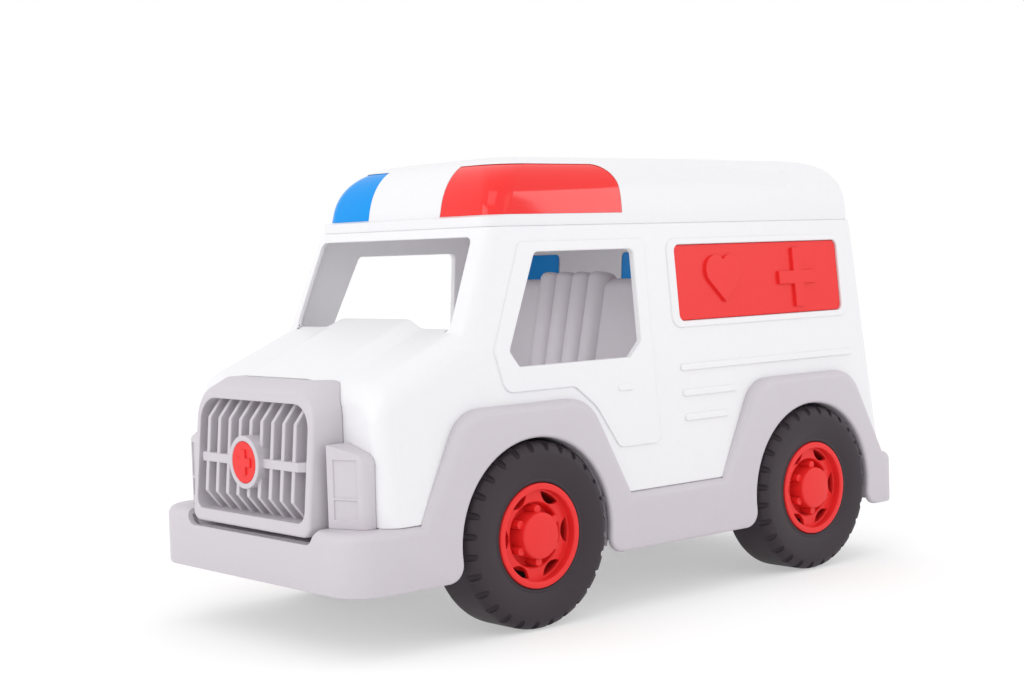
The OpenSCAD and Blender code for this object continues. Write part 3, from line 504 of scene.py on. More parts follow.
def side_relief():
    """What stands proud of the left wall: the door, the panel's rim, three ribs and the handle."""
    door = cut(side_layer(DOOR, -DOOR_PROUD, RELIEF_ROOT), across(DOOR_WINDOW, 0, HALF_WIDTH))
    rim = cut(
        side_layer(panel_outline(**PANEL_RIM), -PANEL_RIM_PROUD, RELIEF_ROOT),
        across(PANEL_HOLE, 0, HALF_WIDTH))
    ribs = [side_bar(*rib, RIB_PROUD) for rib in RIBS]
    return [door, rim] + ribs + [side_bar(*HANDLE, HANDLE_PROUD)]


def body_knuckles():
    """The left hinge's fixed knuckles, above and below the door's barrel."""
    knuckle = circle(-HINGE_OUT, HINGE_Y, KNUCKLE_R)
    root = box_outline(-HINGE_OUT, HINGE_Y - KNUCKLE_R, WALL / 2, HINGE_Y + KNUCKLE_R, KNUCKLE_ROOT_R)
    shapes = []
    for z in (DOOR_SILL, DOOR_SILL + DOOR_HEIGHT - KNUCKLE_LENGTH):
        for outline in (knuckle, root):
            shapes.append(placed(upright(outline, z, z + KNUCKLE_LENGTH), ON_REAR))
    return shapes


def screw_bosses():
    """The left bosses that take the screws from below, each with a rib to the wall beside it."""
    top = DECK_TOP + SCREW_BOSS_HEIGHT
    shapes = []
    for (x, y), rib in zip(SCREW_PLACES, SCREW_RIBS):
        boss = upright(circle(x, y, SCREW_BOSS_R), DECK_TOP, top)
        hole = circle(x, y, SCREW_HOLE_R, CURVE_STEPS)
        shapes.append(cut(boss, upright(hole, DECK_TOP - OVERRUN, DECK_TOP + SCREW_HOLE_DEPTH)))
        shapes.append(upright(box_outline(*rib, SCREW_RIB_EDGE_R), DECK_TOP, top))
    return shapes


def panel_windows():
    """The two openings in the wall behind the left panel."""
    behind = (PANEL_REAR + PANEL_LAP, PANEL_BAR_REAR)
    ahead = (PANEL_BAR_FRONT, PANEL_FRONT - PANEL_LAP)
    shapes = []
    for rear, front in (behind, ahead):
        window = box_outline(rear, PANEL_BOTTOM + PANEL_LAP, front, PANEL_TOP - PANEL_LAP, PANEL_WINDOW_R)
        shapes.append(across(window, HALF_WIDTH / 2, HALF_WIDTH))
    return shapes


def through_rear(outline):
    return placed(along(outline, -LONG_OVERRUN, WALL + LONG_OVERRUN), ON_REAR)


def make_body_shell():
    shell = cut(box_form(0, DECK_TOP, SEAM_Z), along(WINDSCREEN, SCREEN_TOP_X - WINDSCREEN_REACH, NOSE_X))
    fused(shell, bonnet_form(0, DECK_TOP))
    cut(shell, box_form(WALL, 0, HEIGHT), bonnet_form(WALL, 0))
    cut(shell, across(DOOR_WINDOW, -HALF_WIDTH, HALF_WIDTH))
    for window in panel_windows():
        cut(shell, *both(window))
    cut(shell, *both(side_layer(PANEL_HOLE, -LONG_OVERRUN, PANEL_POCKET)))
    for x in (FRONT_AXLE_X, REAR_AXLE_X):
        tub = circle(x, ARCH_Z, ARCH_R + TUB_WALL + TUB_CLEARANCE)
        cut(shell, *both(across(tub, TUB_INNER_Y, HALF_WIDTH)))
    doorway_half = DOOR_WIDTH + 2 * DOOR_GAP
    doorway_top = DOOR_SILL + DOOR_HEIGHT + DOOR_GAP
    doorway = box_outline(-doorway_half, DOOR_SILL - DOOR_GAP, doorway_half, doorway_top, DOOR_OPENING_R)
    cut(shell, through_rear(doorway))
    cut(shell, through_rear(REAR_WINDOW))
    added = side_relief() + body_knuckles() + screw_bosses()
    relief = [twin for shape in added for twin in both(shape)]
    piece("body_shell", gathered(shell, *relief), white, "chassis", bevel=0.8)


# Roof: plan outlines that draw in over the shoulder, then over the crown
SHOULDER_RISE = 37.8
SHOULDER_RUN = 32.1
SHOULDER_POWER = 3
FRONT_POWER = 2.2
CORNER_GROWTH_SHARE = 0.6
CROWN_START = 20
CROWN_RUN = 70
CROWN_STEPS = 8
ROOF_WALL = 5.4
ROOF_LEDGE = 1.2
ROOF_EDGE_R = 0.3

# Front band under the lights, and the step back above it
BAND_RISE = 6.3
BAND_EDGE = 0.8
BAND_STEP = 4.5

# Roof lights, with heights above the seam
LIGHT_REAR_X = 8
LIGHT_INNER_Y = 32.5
LIGHT_LOW = 6.5
LIGHT_HIGH = 34
LIGHT_CORNER_R = 14
LIGHT_SET_IN = 0.3
LIGHT_DEPTH = 3
LIGHT_STEPS = 12

# Scoop along each shoulder: its place on the shoulder and the way it faces, in degrees
SCOOP_REAR = -133
SCOOP_LENGTH = 74
SCOOP_OUTWARD = 2.2
SCOOP_UPWARD = 1.6
SCOOP_R = 16
SCOOP_DEPTH = 3
SCOOP_PLACE = 38
SCOOP_TURN = 33
SCOOP_STEPS = 16
ROOF_SHARP = 28


def roof_ring(drawn_in, z, front_in=None):
    """The roof's outline at a height, drawn in all round, or by another width in front."""
    if front_in is None:
        front_in = drawn_in
    half = body_half(SEAM_Z) - ROOF_LEDGE - drawn_in
    growth = drawn_in * CORNER_GROWTH_SHARE
    step = BAND_STEP if z >= SEAM_Z + BAND_RISE else 0
    outline = plan_outline(
        rear_x(SEAM_Z) + ROOF_LEDGE + drawn_in, SCREEN_TOP_X - ROOF_LEDGE - front_in - step, half,
        min(half, REAR_CORNER_R + growth) - GAP, min(half, PILLAR_R + growth) - GAP)
    return [(x, y, z) for x, y in outline]


def roof_shoulder(turn, inset):
    """How far the roof's shoulder is drawn in at a turn in degrees, and how high it stands there."""
    a = math.radians(turn)
    drawn_in = inset + (SHOULDER_RUN - inset) * (1 - abs(math.cos(a)) ** (2 / SHOULDER_POWER))
    return drawn_in, (SHOULDER_RISE - inset) * math.sin(a) ** (2 / SHOULDER_POWER)


def roof_front(rise, inset):
    """How far the roof's front is drawn in at a height on the shoulder."""
    share = min(rise / (SHOULDER_RISE - inset), 1)
    drawn_share = 1 - (1 - share ** FRONT_POWER) ** (1 / FRONT_POWER)
    return inset + (SHOULDER_RUN - inset) * drawn_share


def roof_form(inset, low):
    """The roof as a solid, drawn in by an inset, from a level below the band upwards."""
    def height(drawn_in, rise):
        crown = HEIGHT - SEAM_Z - SHOULDER_RISE
        share = ease((drawn_in - CROWN_START) / (CROWN_RUN - CROWN_START))
        return SEAM_Z + GAP + rise + (crown - GAP) * share

    rings = [roof_ring(inset + ROOF_EDGE_R, low)]
    for z in (low + ROOF_EDGE_R, SEAM_Z + BAND_RISE - BAND_EDGE, SEAM_Z + BAND_RISE):
        rings.append(roof_ring(inset, z))
    for i in range(2, CURVE_STEPS + 1):
        drawn_in, rise = roof_shoulder(90 * i / CURVE_STEPS, inset)
        rings.append(roof_ring(drawn_in, height(drawn_in, rise), roof_front(rise, inset)))
    for i in range(1, CROWN_STEPS + 1):
        drawn_in = SHOULDER_RUN + (CROWN_RUN - SHOULDER_RUN) * i / CROWN_STEPS
        rings.append(roof_ring(drawn_in, height(drawn_in, SHOULDER_RISE - inset)))
    return loft(rings)


def light_prism(margin):
    """What bounds the left light below, behind, above and towards the middle."""
    rear = LIGHT_REAR_X - margin
    low = SEAM_Z + LIGHT_LOW - margin
    high = SEAM_Z + LIGHT_HIGH + margin
    corners = [(rear, low, 0), (HALF_LENGTH, low, 0), (HALF_LENGTH, high, 0), (rear, high, LIGHT_CORNER_R)]
    outline = rounded(corners, LIGHT_STEPS)
    return across(outline, LIGHT_INNER_Y - margin, HALF_WIDTH)


def scoop_form():
    """The scoop along the roof's left shoulder, deepest at its rear end."""
    reach = SCOOP_R - SCOOP_DEPTH
    turn = math.radians(SCOOP_TURN)
    drawn_in, rise = roof_shoulder(SCOOP_PLACE, 0)
    y = body_half(SEAM_Z) - ROOF_LEDGE - drawn_in + reach * math.cos(turn)
    z = SEAM_Z + rise + reach * math.sin(turn)
    section = arc((0, 0), SCOOP_R, -90, 90, SCOOP_STEPS)
    section += arc((0, SCOOP_LENGTH), SCOOP_R, 0, 90, SCOOP_STEPS)
    section[0] = (0, -SCOOP_R)
    section[-1] = (0, SCOOP_LENGTH + SCOOP_R)
    way = Vector((SCOOP_LENGTH, SCOOP_OUTWARD, SCOOP_UPWARD))
    run = way.to_track_quat("Z", "Y").to_matrix().to_4x4()
    return placed(lathe(section), Matrix.Translation((SCOOP_REAR, y, z)) @ run)


def make_roof():
    roof = cut(roof_form(0, SEAM_Z), roof_form(ROOF_WALL, SEAM_Z - OVERRUN))
    seats = gathered(*both(light_prism(GAP / 2)))
    cut(roof, cut(seats, roof_form(LIGHT_DEPTH + GAP, SEAM_Z - LONG_OVERRUN)))
    cut(roof, *both(scoop_form()))
    piece("roof_cap", roof, white, "chassis", sharp=ROOF_SHARP)
    light = shared(roof_form(LIGHT_SET_IN, SEAM_Z - OVERRUN), light_prism(0))
    cut(light, roof_form(LIGHT_DEPTH, SEAM_Z - LONG_OVERRUN))
    other = mirrored(light)
    piece("roof_light_left", light, red_lens, "chassis", sharp=ROOF_SHARP)
    piece("roof_light_right", other, blue_lens, "chassis", sharp=ROOF_SHARP)


# Side panels with a raised heart in front and a raised plus behind
PANEL_SET_IN = 0.4
PANEL_BACK = 2.2
SIGN_SIZE = 36
SIGN_PROUD = 1.6
HEART_X = -70
PLUS_X = -137
PLUS_ARM = 8
PLUS_EDGE_R = 0.6
PLUS_STEPS = 3


def plus_outline(size, arm):
    s = size / 2
    a = arm / 2
    corners = [
        (-a, -s), (a, -s), (a, -a), (s, -a), (s, a), (a, a),
        (a, s), (-a, s), (-a, a), (-s, a), (-s, -a), (-a, -a)]
    return rounded([(x, y, PLUS_EDGE_R) for x, y in corners], PLUS_STEPS)


def heart_outline(size):
    r = size / 4
    lobe = arc((r / math.sqrt(2), r / math.sqrt(2)), r, -45, 180, CURVE_STEPS)
    return [(0, -r * math.sqrt(2))] + lobe + [(-x, y) for x, y in reversed(lobe[:-1])]


def panel_sign(outline, place_x):
    """A raised sign on the left panel, at half its height."""
    level = (PANEL_BOTTOM + PANEL_TOP) / 2
    return side_layer([(x + place_x, z + level) for x, z in outline], -SIGN_PROUD, RELIEF_ROOT)


def make_side_panels():
    plate = side_layer(panel_outline(0, 0, 0, 0, PANEL_CORNER_R), PANEL_SET_IN, PANEL_BACK)
    plus = panel_sign(plus_outline(SIGN_SIZE, PLUS_ARM), PLUS_X)
    heart = panel_sign(heart_outline(SIGN_SIZE), HEART_X)
    panel = gathered(plate, plus, heart)
    other = mirrored(panel)
    piece("side_panel_left", panel, red, "chassis", bevel=0.5)
    piece("side_panel_right", other, blue, "chassis", bevel=0.5)


# Lower body: deck, sills and bumpers
BUMPER_CORNER_R = 20
REAR_SKIRT_R = 8
LEAST_SKIRT_R = 2
SKIRT_STEPS = 12
TRAY_WALL = 3
RIM_R = 5
FOOT_EDGE = ((1.5, 0), (0.4, 0.4), (0, 1.5))
SHELF_HALF = 60
SHELF_LOW = 54
SHELF_DROP = 0.5
SHELF_EDGE_R = 0.5
BUMPER_NOTCH = rounded([(-61, 70, 0), (-61, 65, 0), (-57, 57, 6), (57, 57, 6), (61, 65, 0), (61, 70, 0)])
LOAD_FLOOR = box_outline(-194.5, -54, -41.5, 54, 2)
LOAD_FLOOR_RISE = 1

# Wheel flares, with reaches from the wheel's middle, and the tubs and axle bosses behind them
FLARE_FOOT_Z = 58
FLARE_TOP_Z = 120
FLARE_REAR_REACH = 74.5
FLARE_FRONT_REACHES = {FRONT_AXLE_X: 82, REAR_AXLE_X: 85}
FLARE_TOP_REAR = 41
FLARE_TOP_FRONT = 48
FLARE_TOP_R = 23
FLARE_ROOT = 25
FLARE_EDGE_R = 4.5
FLARE_SIDE_SHARE = 1.115
TUB_SET_IN = 6
TUB_LIFT = 0.3
TUB_TRIM = 80
AXLE_BOSS_R = 8
AXLE_BOSS_INNER_Y = 51.5
AXLE_BOSS_OUTER_Y = 62.5
AXLE_HOLE_R = 3.05


def skirt_outline(inset):
    front_r = BUMPER_CORNER_R - inset
    rear_r = max(REAR_SKIRT_R - inset, LEAST_SKIRT_R)
    x = HALF_LENGTH - inset
    y = HALF_WIDTH - inset
    return rounded([(-x, -y, rear_r), (x, -y, front_r), (x, y, front_r), (-x, y, rear_r)], SKIRT_STEPS)


def tray_form():
    """The outside of the tray: upright walls with a rounded upper rim and a softer lower one."""
    places = [(inset, SKIRT_BOTTOM + rise) for inset, rise in FOOT_EDGE]
    for i in range(CORNER_STEPS + 1):
        a = math.radians(90 * i / CORNER_STEPS)
        places.append((RIM_R * (1 - math.cos(a)), DECK_TOP - RIM_R * (1 - math.sin(a))))
    return loft([[(x, y, z) for x, y in skirt_outline(inset)] for inset, z in places])


def flare_form(x):
    """One wheel flare, with a rounded outer edge over its top and sides."""
    rings = [(HALF_WIDTH - FLARE_ROOT, 0)]
    for i in range(CORNER_STEPS + 1):
        a = math.radians(90 * i / CORNER_STEPS)
        rings.append((HALF_WIDTH - FLARE_EDGE_R * (1 - math.sin(a)), FLARE_EDGE_R * (1 - math.cos(a))))
    shapes = []
    for y, inset in rings:
        side = FLARE_SIDE_SHARE * inset
        top = FLARE_TOP_Z - inset
        r = FLARE_TOP_R - inset
        outline = rounded([
            (x - FLARE_REAR_REACH + side, FLARE_FOOT_Z, 0),
            (x + FLARE_FRONT_REACHES[x] - side, FLARE_FOOT_Z, 0),
            (x + FLARE_TOP_FRONT - side, top, r), (x - FLARE_TOP_REAR + side, top, r)])
        shapes.append([(px, y, pz) for px, pz in outline])
    return loft(shapes)


def tub_form(x):
    """The left tub over one wheel, trimmed just above the skirt's lower edge."""
    tub = across(circle(x, ARCH_Z, ARCH_R + TUB_WALL), TUB_INNER_Y, HALF_WIDTH - TUB_SET_IN)
    rear = x - TUB_TRIM
    front = x + TUB_TRIM
    trim = [(rear, 0), (front, 0), (front, HALF_WIDTH), (rear, HALF_WIDTH)]
    return cut(tub, upright(trim, -TUB_TRIM, SKIRT_BOTTOM + TUB_LIFT))


def axle_boss(x):
    boss = across(circle(x, AXLE_Z, AXLE_BOSS_R), AXLE_BOSS_INNER_Y, AXLE_BOSS_OUTER_Y)
    hole = circle(x, AXLE_Z, AXLE_HOLE_R)
    return cut(boss, across(hole, AXLE_BOSS_INNER_Y - LONG_OVERRUN, AXLE_BOSS_OUTER_Y + LONG_OVERRUN))


def make_lower_body():
    hollow = upright(skirt_outline(TRAY_WALL), SKIRT_BOTTOM - OVERRUN, DECK_TOP - TRAY_WALL)
    tray = cut(tray_form(), hollow)
    shelf = box_outline(NOSE_X - WALL, -SHELF_HALF, HALF_LENGTH - 2 * TRAY_WALL, SHELF_HALF, SHELF_EDGE_R)
    fused(tray, upright(shelf, SHELF_LOW, DECK_TOP - SHELF_DROP))
    cut(tray, along(BUMPER_NOTCH, NOSE_X, HALF_LENGTH + OVERRUN))
    flares = []
    tubs = []
    arches = []
    for x in (FRONT_AXLE_X, REAR_AXLE_X):
        flares += both(flare_form(x))
        tubs += both(tub_form(x))
        arches += both(arch_form(x))
    fused(tray, cut(gathered(*flares), box_form(-GAP, 0, HEIGHT), bonnet_form(-GAP, 0)))
    fused(tray, *tubs)
    cut(tray, *arches)
    for x in (FRONT_AXLE_X, REAR_AXLE_X):
        tray = gathered(tray, *both(axle_boss(x)))
    load_floor = upright(LOAD_FLOOR, DECK_TOP - LOAD_FLOOR_RISE, DECK_TOP + LOAD_FLOOR_RISE)
    piece("lower_body", gathered(tray, load_floor), grey, "chassis")


# Grille frame: its face leans back, and its sides widen towards the nose
GRILLE_HALF = 55.2
GRILLE_BACK_X = 191
GRILLE_FOOT_X = 213
GRILLE_LEAN = 7
GRILLE_FOOT_Z = 60
GRILLE_BROW_Z = 132.3
GRILLE_TOP_Z = 137.3
GRILLE_DRAFT_SHARE = 0.12
GRILLE_REAR_SPREAD = 1
GRILLE_ROOT = 18
GRILLE_FOOT_R = 6
GRILLE_TOP_R = 17
GRILLE_EDGE_R = 2
GRILLE_STEPS = 12

# Slats in the frame's opening
SLATS = 9
SLATS_HALF = 51
SLATS_LOW = 67
SLATS_HIGH = 126.5
SLATS_LOW_R = 6
SLATS_HIGH_R = 13
SLAT_HALF = 1.5
SLAT_LAP = 1
SLAT_ROOT = 0.5
SLAT_PROUD = 0.6
SLAT_BEND = 11
SLAT_SWEEP = 9

# Cross bar with swept ends, and the badge in its ring
BAR_HALF = 2.5
BAR_PROUD = 1.1
BAR_SWEEP = 5
BAR_END_Y = 51.4
BAR_BEND_Y = 45
BADGE_Z = 95
BADGE_R = 11
BADGE_CLEARANCE = 0.1
BADGE_SEAT = 1.2
BADGE_PROUD = 4
BADGE_RING_R = 14
BADGE_RING_PROUD = 4.2
BADGE_PLUS_SIZE = 13.6
BADGE_PLUS_ARM = 4.6
BADGE_PLUS_ROOT = 2
BADGE_PLUS_PROUD = 4.8


def grille_face_x(z):
    return GRILLE_FOOT_X - GRILLE_LEAN * (z - GRILLE_FOOT_Z) / (GRILLE_TOP_Z - GRILLE_FOOT_Z)


def grille_ring(set_back, inset):
    """The frame's outline at a depth behind its sloping face, drawn in by an inset."""
    high = min(GRILLE_TOP_Z, GRILLE_BROW_Z + BONNET_SLOPE * set_back) - inset
    half = GRILLE_HALF + GRILLE_DRAFT_SHARE * set_back - inset
    low = GRILLE_FOOT_Z + inset
    outline = rounded([
        (-half, low, GRILLE_FOOT_R), (half, low, GRILLE_FOOT_R), (half, high, GRILLE_TOP_R),
        (-half, high, GRILLE_TOP_R)], GRILLE_STEPS)
    return [(grille_face_x(z) - set_back, y, z) for y, z in outline]


def grille_frame():
    rings = []
    for i in range(CORNER_STEPS + 1):
        a = math.radians(90 * i / CORNER_STEPS)
        rings.append(grille_ring(GRILLE_EDGE_R * (1 - math.cos(a)), GRILLE_EDGE_R * (1 - math.sin(a))))
    rings.append(grille_ring((GRILLE_TOP_Z - GRILLE_BROW_Z) / BONNET_SLOPE, 0))
    spread = 1 + GRILLE_REAR_SPREAD / GRILLE_HALF
    rings.append([(NOSE_X - GRILLE_ROOT, y * spread, z) for x, y, z in rings[-1]])
    opening = rounded([
        (-SLATS_HALF, SLATS_LOW, SLATS_LOW_R), (SLATS_HALF, SLATS_LOW, SLATS_LOW_R),
        (SLATS_HALF, SLATS_HIGH, SLATS_HIGH_R), (-SLATS_HALF, SLATS_HIGH, SLATS_HIGH_R)])
    return cut(loft(rings), along(opening, GRILLE_BACK_X, HALF_LENGTH + OVERRUN), bonnet_form(-GAP, 0))


def grille_slat(y):
    """One upright slat, swept back at both ends."""
    low = SLATS_LOW - SLAT_LAP
    high = SLATS_HIGH + SLAT_LAP
    back = GRILLE_BACK_X - SLAT_ROOT
    foot = grille_face_x(low + SLAT_BEND) + SLAT_PROUD
    brow = grille_face_x(high - SLAT_BEND) + SLAT_PROUD
    profile = [
        (back, low), (foot - SLAT_SWEEP, low), (foot, low + SLAT_BEND), (brow, high - SLAT_BEND),
        (brow - SLAT_SWEEP, high), (back, high)]
    return across(profile, y - SLAT_HALF, y + SLAT_HALF)


def cross_bar(face):
    front = face + BAR_PROUD
    end = face - BAR_SWEEP
    half = [(GRILLE_BACK_X, BAR_END_Y), (end, BAR_END_Y), (front, BAR_BEND_Y)]
    outline = [(x, -y) for x, y in half] + half[::-1]
    return upright(outline, BADGE_Z - BAR_HALF, BADGE_Z + BAR_HALF)


def make_grille():
    face = grille_face_x(BADGE_Z)
    shapes = [grille_frame()]
    for i in range(1, SLATS + 1):
        shapes.append(grille_slat(SLATS_HALF * (2 * i / (SLATS + 1) - 1)))
    shapes.append(cross_bar(face))
    ring = along(circle(0, BADGE_Z, BADGE_RING_R), GRILLE_BACK_X, face + BADGE_RING_PROUD)
    seat = circle(0, BADGE_Z, BADGE_R + BADGE_CLEARANCE)
    shapes.append(cut(ring, along(seat, face + BADGE_SEAT, face + BADGE_RING_PROUD + LONG_OVERRUN)))
    piece("grille", gathered(*shapes), grey, "chassis", bevel=0.6)
    disc = along(circle(0, BADGE_Z, BADGE_R), face + BADGE_SEAT, face + BADGE_PROUD)
    sign = [(y, z + BADGE_Z) for y, z in plus_outline(BADGE_PLUS_SIZE, BADGE_PLUS_ARM)]
    plus = along(sign, face + BADGE_PLUS_ROOT, face + BADGE_PLUS_PROUD)
    piece("grille_badge", gathered(disc, plus), red, "chassis", bevel=0.3)


# Headlamps: blocks whose faces sweep back and whose tops fall outwards, each with two lamp panels
LAMP_INNER_Y = 61.2
LAMP_OUTER_Y = 82.2
LAMP_REAR_X = NOSE_X - 16
LAMP_FACE_X = 204.5
LAMP_SWEEP = 8
LAMP_INNER_TOP = 107
LAMP_OUTER_TOP = 101.5
LAMP_TOP_R = 6
LAMP_EDGE_R = 4
LAMP_PANELS = ((69.5, 79.4), (80.6, 99.5))
LAMP_PANEL_INNER = 3.5
LAMP_PANEL_OUTER = 4.5
LAMP_PANEL_DEPTH = 0.9


def lamp_face_x(y):
    return LAMP_FACE_X - LAMP_SWEEP * (y - LAMP_INNER_Y) / (LAMP_OUTER_Y - LAMP_INNER_Y)


def lamp_panel(low, high):
    """What is cut for one lamp panel, parallel to the lamp's face."""
    near = LAMP_INNER_Y + LAMP_PANEL_INNER
    far = LAMP_OUTER_Y - LAMP_PANEL_OUTER
    back = [(lamp_face_x(y) - LAMP_PANEL_DEPTH, y) for y in (near, far)]
    front = [(lamp_face_x(y) + LONG_OVERRUN, y) for y in (far, near)]
    return upright(back + front, low, high)


def make_headlamps():
    plan = rounded([
        (LAMP_REAR_X, LAMP_INNER_Y, 0), (lamp_face_x(LAMP_INNER_Y), LAMP_INNER_Y, 0),
        (lamp_face_x(LAMP_OUTER_Y), LAMP_OUTER_Y, LAMP_EDGE_R), (LAMP_REAR_X, LAMP_OUTER_Y, 0)])
    front = rounded([
        (LAMP_INNER_Y, DECK_TOP - OVERRUN, 0), (LAMP_OUTER_Y, DECK_TOP - OVERRUN, 0),
        (LAMP_OUTER_Y, LAMP_OUTER_TOP, LAMP_TOP_R), (LAMP_INNER_Y, LAMP_INNER_TOP, 0)])
    lamp = upright(plan, DECK_TOP, LAMP_INNER_TOP + OVERRUN)
    shared(lamp, along(front, LAMP_REAR_X - OVERRUN, HALF_LENGTH))
    cut(lamp, bonnet_form(-GAP, 0))
    cut(lamp, *[lamp_panel(low, high) for low, high in LAMP_PANELS])
    other = mirrored(lamp)
    piece("headlamp_left", lamp, grey, "chassis", bevel=0.35)
    piece("headlamp_right", other, grey, "chassis", bevel=0.35)


# Bench seat seen from the side, and the flutes in its middle, which lean back with it
SEAT_HALF = 72
CUSHION_TOP = 112
SEAT_BACK_TOP = 182
SEAT_PROFILE = rounded([
    (-38, DECK_TOP, 0), (29, DECK_TOP, 0), (29, CUSHION_TOP, 7), (-9, CUSHION_TOP, 3),
    (-25, SEAT_BACK_TOP, 7), (-42, SEAT_BACK_TOP, 7)])
SEAT_HOLLOW = [(-35, 60), (26, 60), (26, 109), (-12, 109), (-28, 179), (-39, 179)]
SEAT_FLUTES = 4
SEAT_FLUTE_X = -13.5
SEAT_FLUTE_R = 8.6
SEAT_FLUTE_EDGE_R = 4
SEAT_FLUTE_FOOT = -20
SEAT_FLUTE_TOP = 75.5
SEAT_FLUTE_SPACING = 14.3
SEAT_RECLINE = math.radians(13)


def seat_flute(y):
    edge = (SEAT_FLUTE_R - SEAT_FLUTE_EDGE_R, SEAT_FLUTE_TOP - SEAT_FLUTE_EDGE_R)
    section = [(0, SEAT_FLUTE_FOOT), (SEAT_FLUTE_R, SEAT_FLUTE_FOOT)]
    section += arc(edge, SEAT_FLUTE_EDGE_R, 0, 90) + [(0, SEAT_FLUTE_TOP)]
    place = Matrix.Translation((SEAT_FLUTE_X, y, CUSHION_TOP)) @ Matrix.Rotation(-SEAT_RECLINE, 4, "Y")
    return placed(lathe(section, 2 * CURVE_STEPS), place)


def make_seat():
    hollow_half = SEAT_HALF - WALL
    seat = across(SEAT_PROFILE, -SEAT_HALF, SEAT_HALF)
    shapes = [cut(seat, across(SEAT_HOLLOW, -hollow_half, hollow_half))]
    for i in range(SEAT_FLUTES):
        shapes.append(seat_flute(SEAT_FLUTE_SPACING * (i - (SEAT_FLUTES - 1) / 2)))
    piece("bench_seat", gathered(*shapes), grey, "chassis", bevel=2)


# Tyres: the wheel's own axis is Z, with its outer face up
TYRE_INNER_Y = 63.5
TYRE_R = 50
TYRE_WIDTH = 30
TYRE_BULGE = 2.5
TYRE_SHOULDER_R = 7
TYRE_SHOULDER_STEPS = 14
TYRE_INNER_EDGE_R = 4
TYRE_WALL = 3
TYRE_STEPS = 120
TYRE_SHARP = 30
SIDE_WALL_DISH = ((38.5, 0.25), (34.5, 0.9), (31.5, 1.8))
HUB_SEAT_R = 28.1
LIP_R = 1.5
LIP_Z = 29
LIP_START = 60
LIP_STEPS = 6
BORE_R = 3.06
WHEEL_BOSS_R = 9
WHEEL_BOSS_TOP = 18
WEB_LOW = 10
WEB_HIGH = 13
TREAD_NOTCHES = 28
TREAD_NOTCH_LEAN = math.radians(38)
TREAD_NOTCH_SIZE = (2, 1.9, 6.5)

# Hub outlines as radius and depth below its face, then the rim, the middle boss, the windows and the lugs
HUB_FACE = 31
HUB_BACK = ((0, 5), (9.5, 5), (9.5, 13), (20, 13), (20, 7.5), (24.5, 7.5))
HUB_DISH = ((24.2, 4.8), (18, 4.8), (17.2, 5.6), (16.6, 10.5), (12.9, 10.5))
HUB_R = 28
HUB_RIM_INNER_R = 24.5
HUB_FOOT = 13.2
HUB_EDGE_R = 0.8
HUB_RIM_CREST_R = 25.2
HUB_BOSS_R = 12.5
HUB_BOSS_EDGE_R = 1.2
HUB_BOSS_SET_IN = 0.6
HUB_BOSS_PROUD = 0.7
HUB_EDGE_STEPS = 4
HUB_SPOKES = 6
WINDOW_R = 23.4
WINDOW_HALF_TURN = 17
WINDOW_BOW_X = 26.47
WINDOW_BOW_R = 7.97
WINDOW_BOW_START = 121
WINDOW_STEPS = 10
WINDOW_FLOOR = 10
WINDOW_TOP = 1
LUG_PLACE_R = 14
LUG_R = 2.3
LUG_FOOT = 11.5
LUG_TOP = 2
LUG_STEPS = 20


def tyre_section():
    """Half of the tyre cut through its axis, from the bore round to the web."""
    top = TYRE_WIDTH + TYRE_BULGE
    shoulder = (TYRE_R - TYRE_SHOULDER_R, top - TYRE_SHOULDER_R)
    inside_r = HUB_SEAT_R + TYRE_WALL
    tread_r = TYRE_R - TYRE_INNER_EDGE_R
    section = [(BORE_R, 0), (WHEEL_BOSS_R, 0), (WHEEL_BOSS_R, WEB_LOW), (inside_r, WEB_LOW)]
    section += [(inside_r, TYRE_WIDTH - TYRE_WALL), (shoulder[0], top - TYRE_WALL), (tread_r, shoulder[1])]
    section += arc((tread_r, TYRE_INNER_EDGE_R), TYRE_INNER_EDGE_R, -90, 90)
    section += arc(shoulder, TYRE_SHOULDER_R, 0, 90, TYRE_SHOULDER_STEPS)
    section += [(r, top - dip) for r, dip in SIDE_WALL_DISH]
    section += arc((HUB_SEAT_R + LIP_R, LIP_Z), LIP_R, LIP_START, 180 - LIP_START, LIP_STEPS)
    section += [(HUB_SEAT_R, WEB_HIGH), (WHEEL_BOSS_R, WEB_HIGH)]
    return section + [(WHEEL_BOSS_R, WHEEL_BOSS_TOP), (BORE_R, WHEEL_BOSS_TOP)]


def tread_notches():
    """Long drops laid round the tyre's outer shoulder."""
    lean = TREAD_NOTCH_LEAN
    place_r = TYRE_R - TYRE_SHOULDER_R + TYRE_SHOULDER_R * math.cos(lean)
    place_z = TYRE_WIDTH + TYRE_BULGE - TYRE_SHOULDER_R + TYRE_SHOULDER_R * math.sin(lean)
    spot = Matrix.Translation((place_r, 0, place_z)) @ Matrix.Rotation(-lean, 4, "Y")
    drop = spot @ Matrix.Diagonal(TREAD_NOTCH_SIZE + (1,))
    bm = bmesh.new()
    for i in range(TREAD_NOTCHES):
        turn = Matrix.Rotation(2 * math.pi * (i + 0.5) / TREAD_NOTCHES, 4, "Z")
        bmesh.ops.create_uvsphere(bm, u_segments=20, v_segments=14, radius=1, matrix=turn @ drop)
    return form(bm)


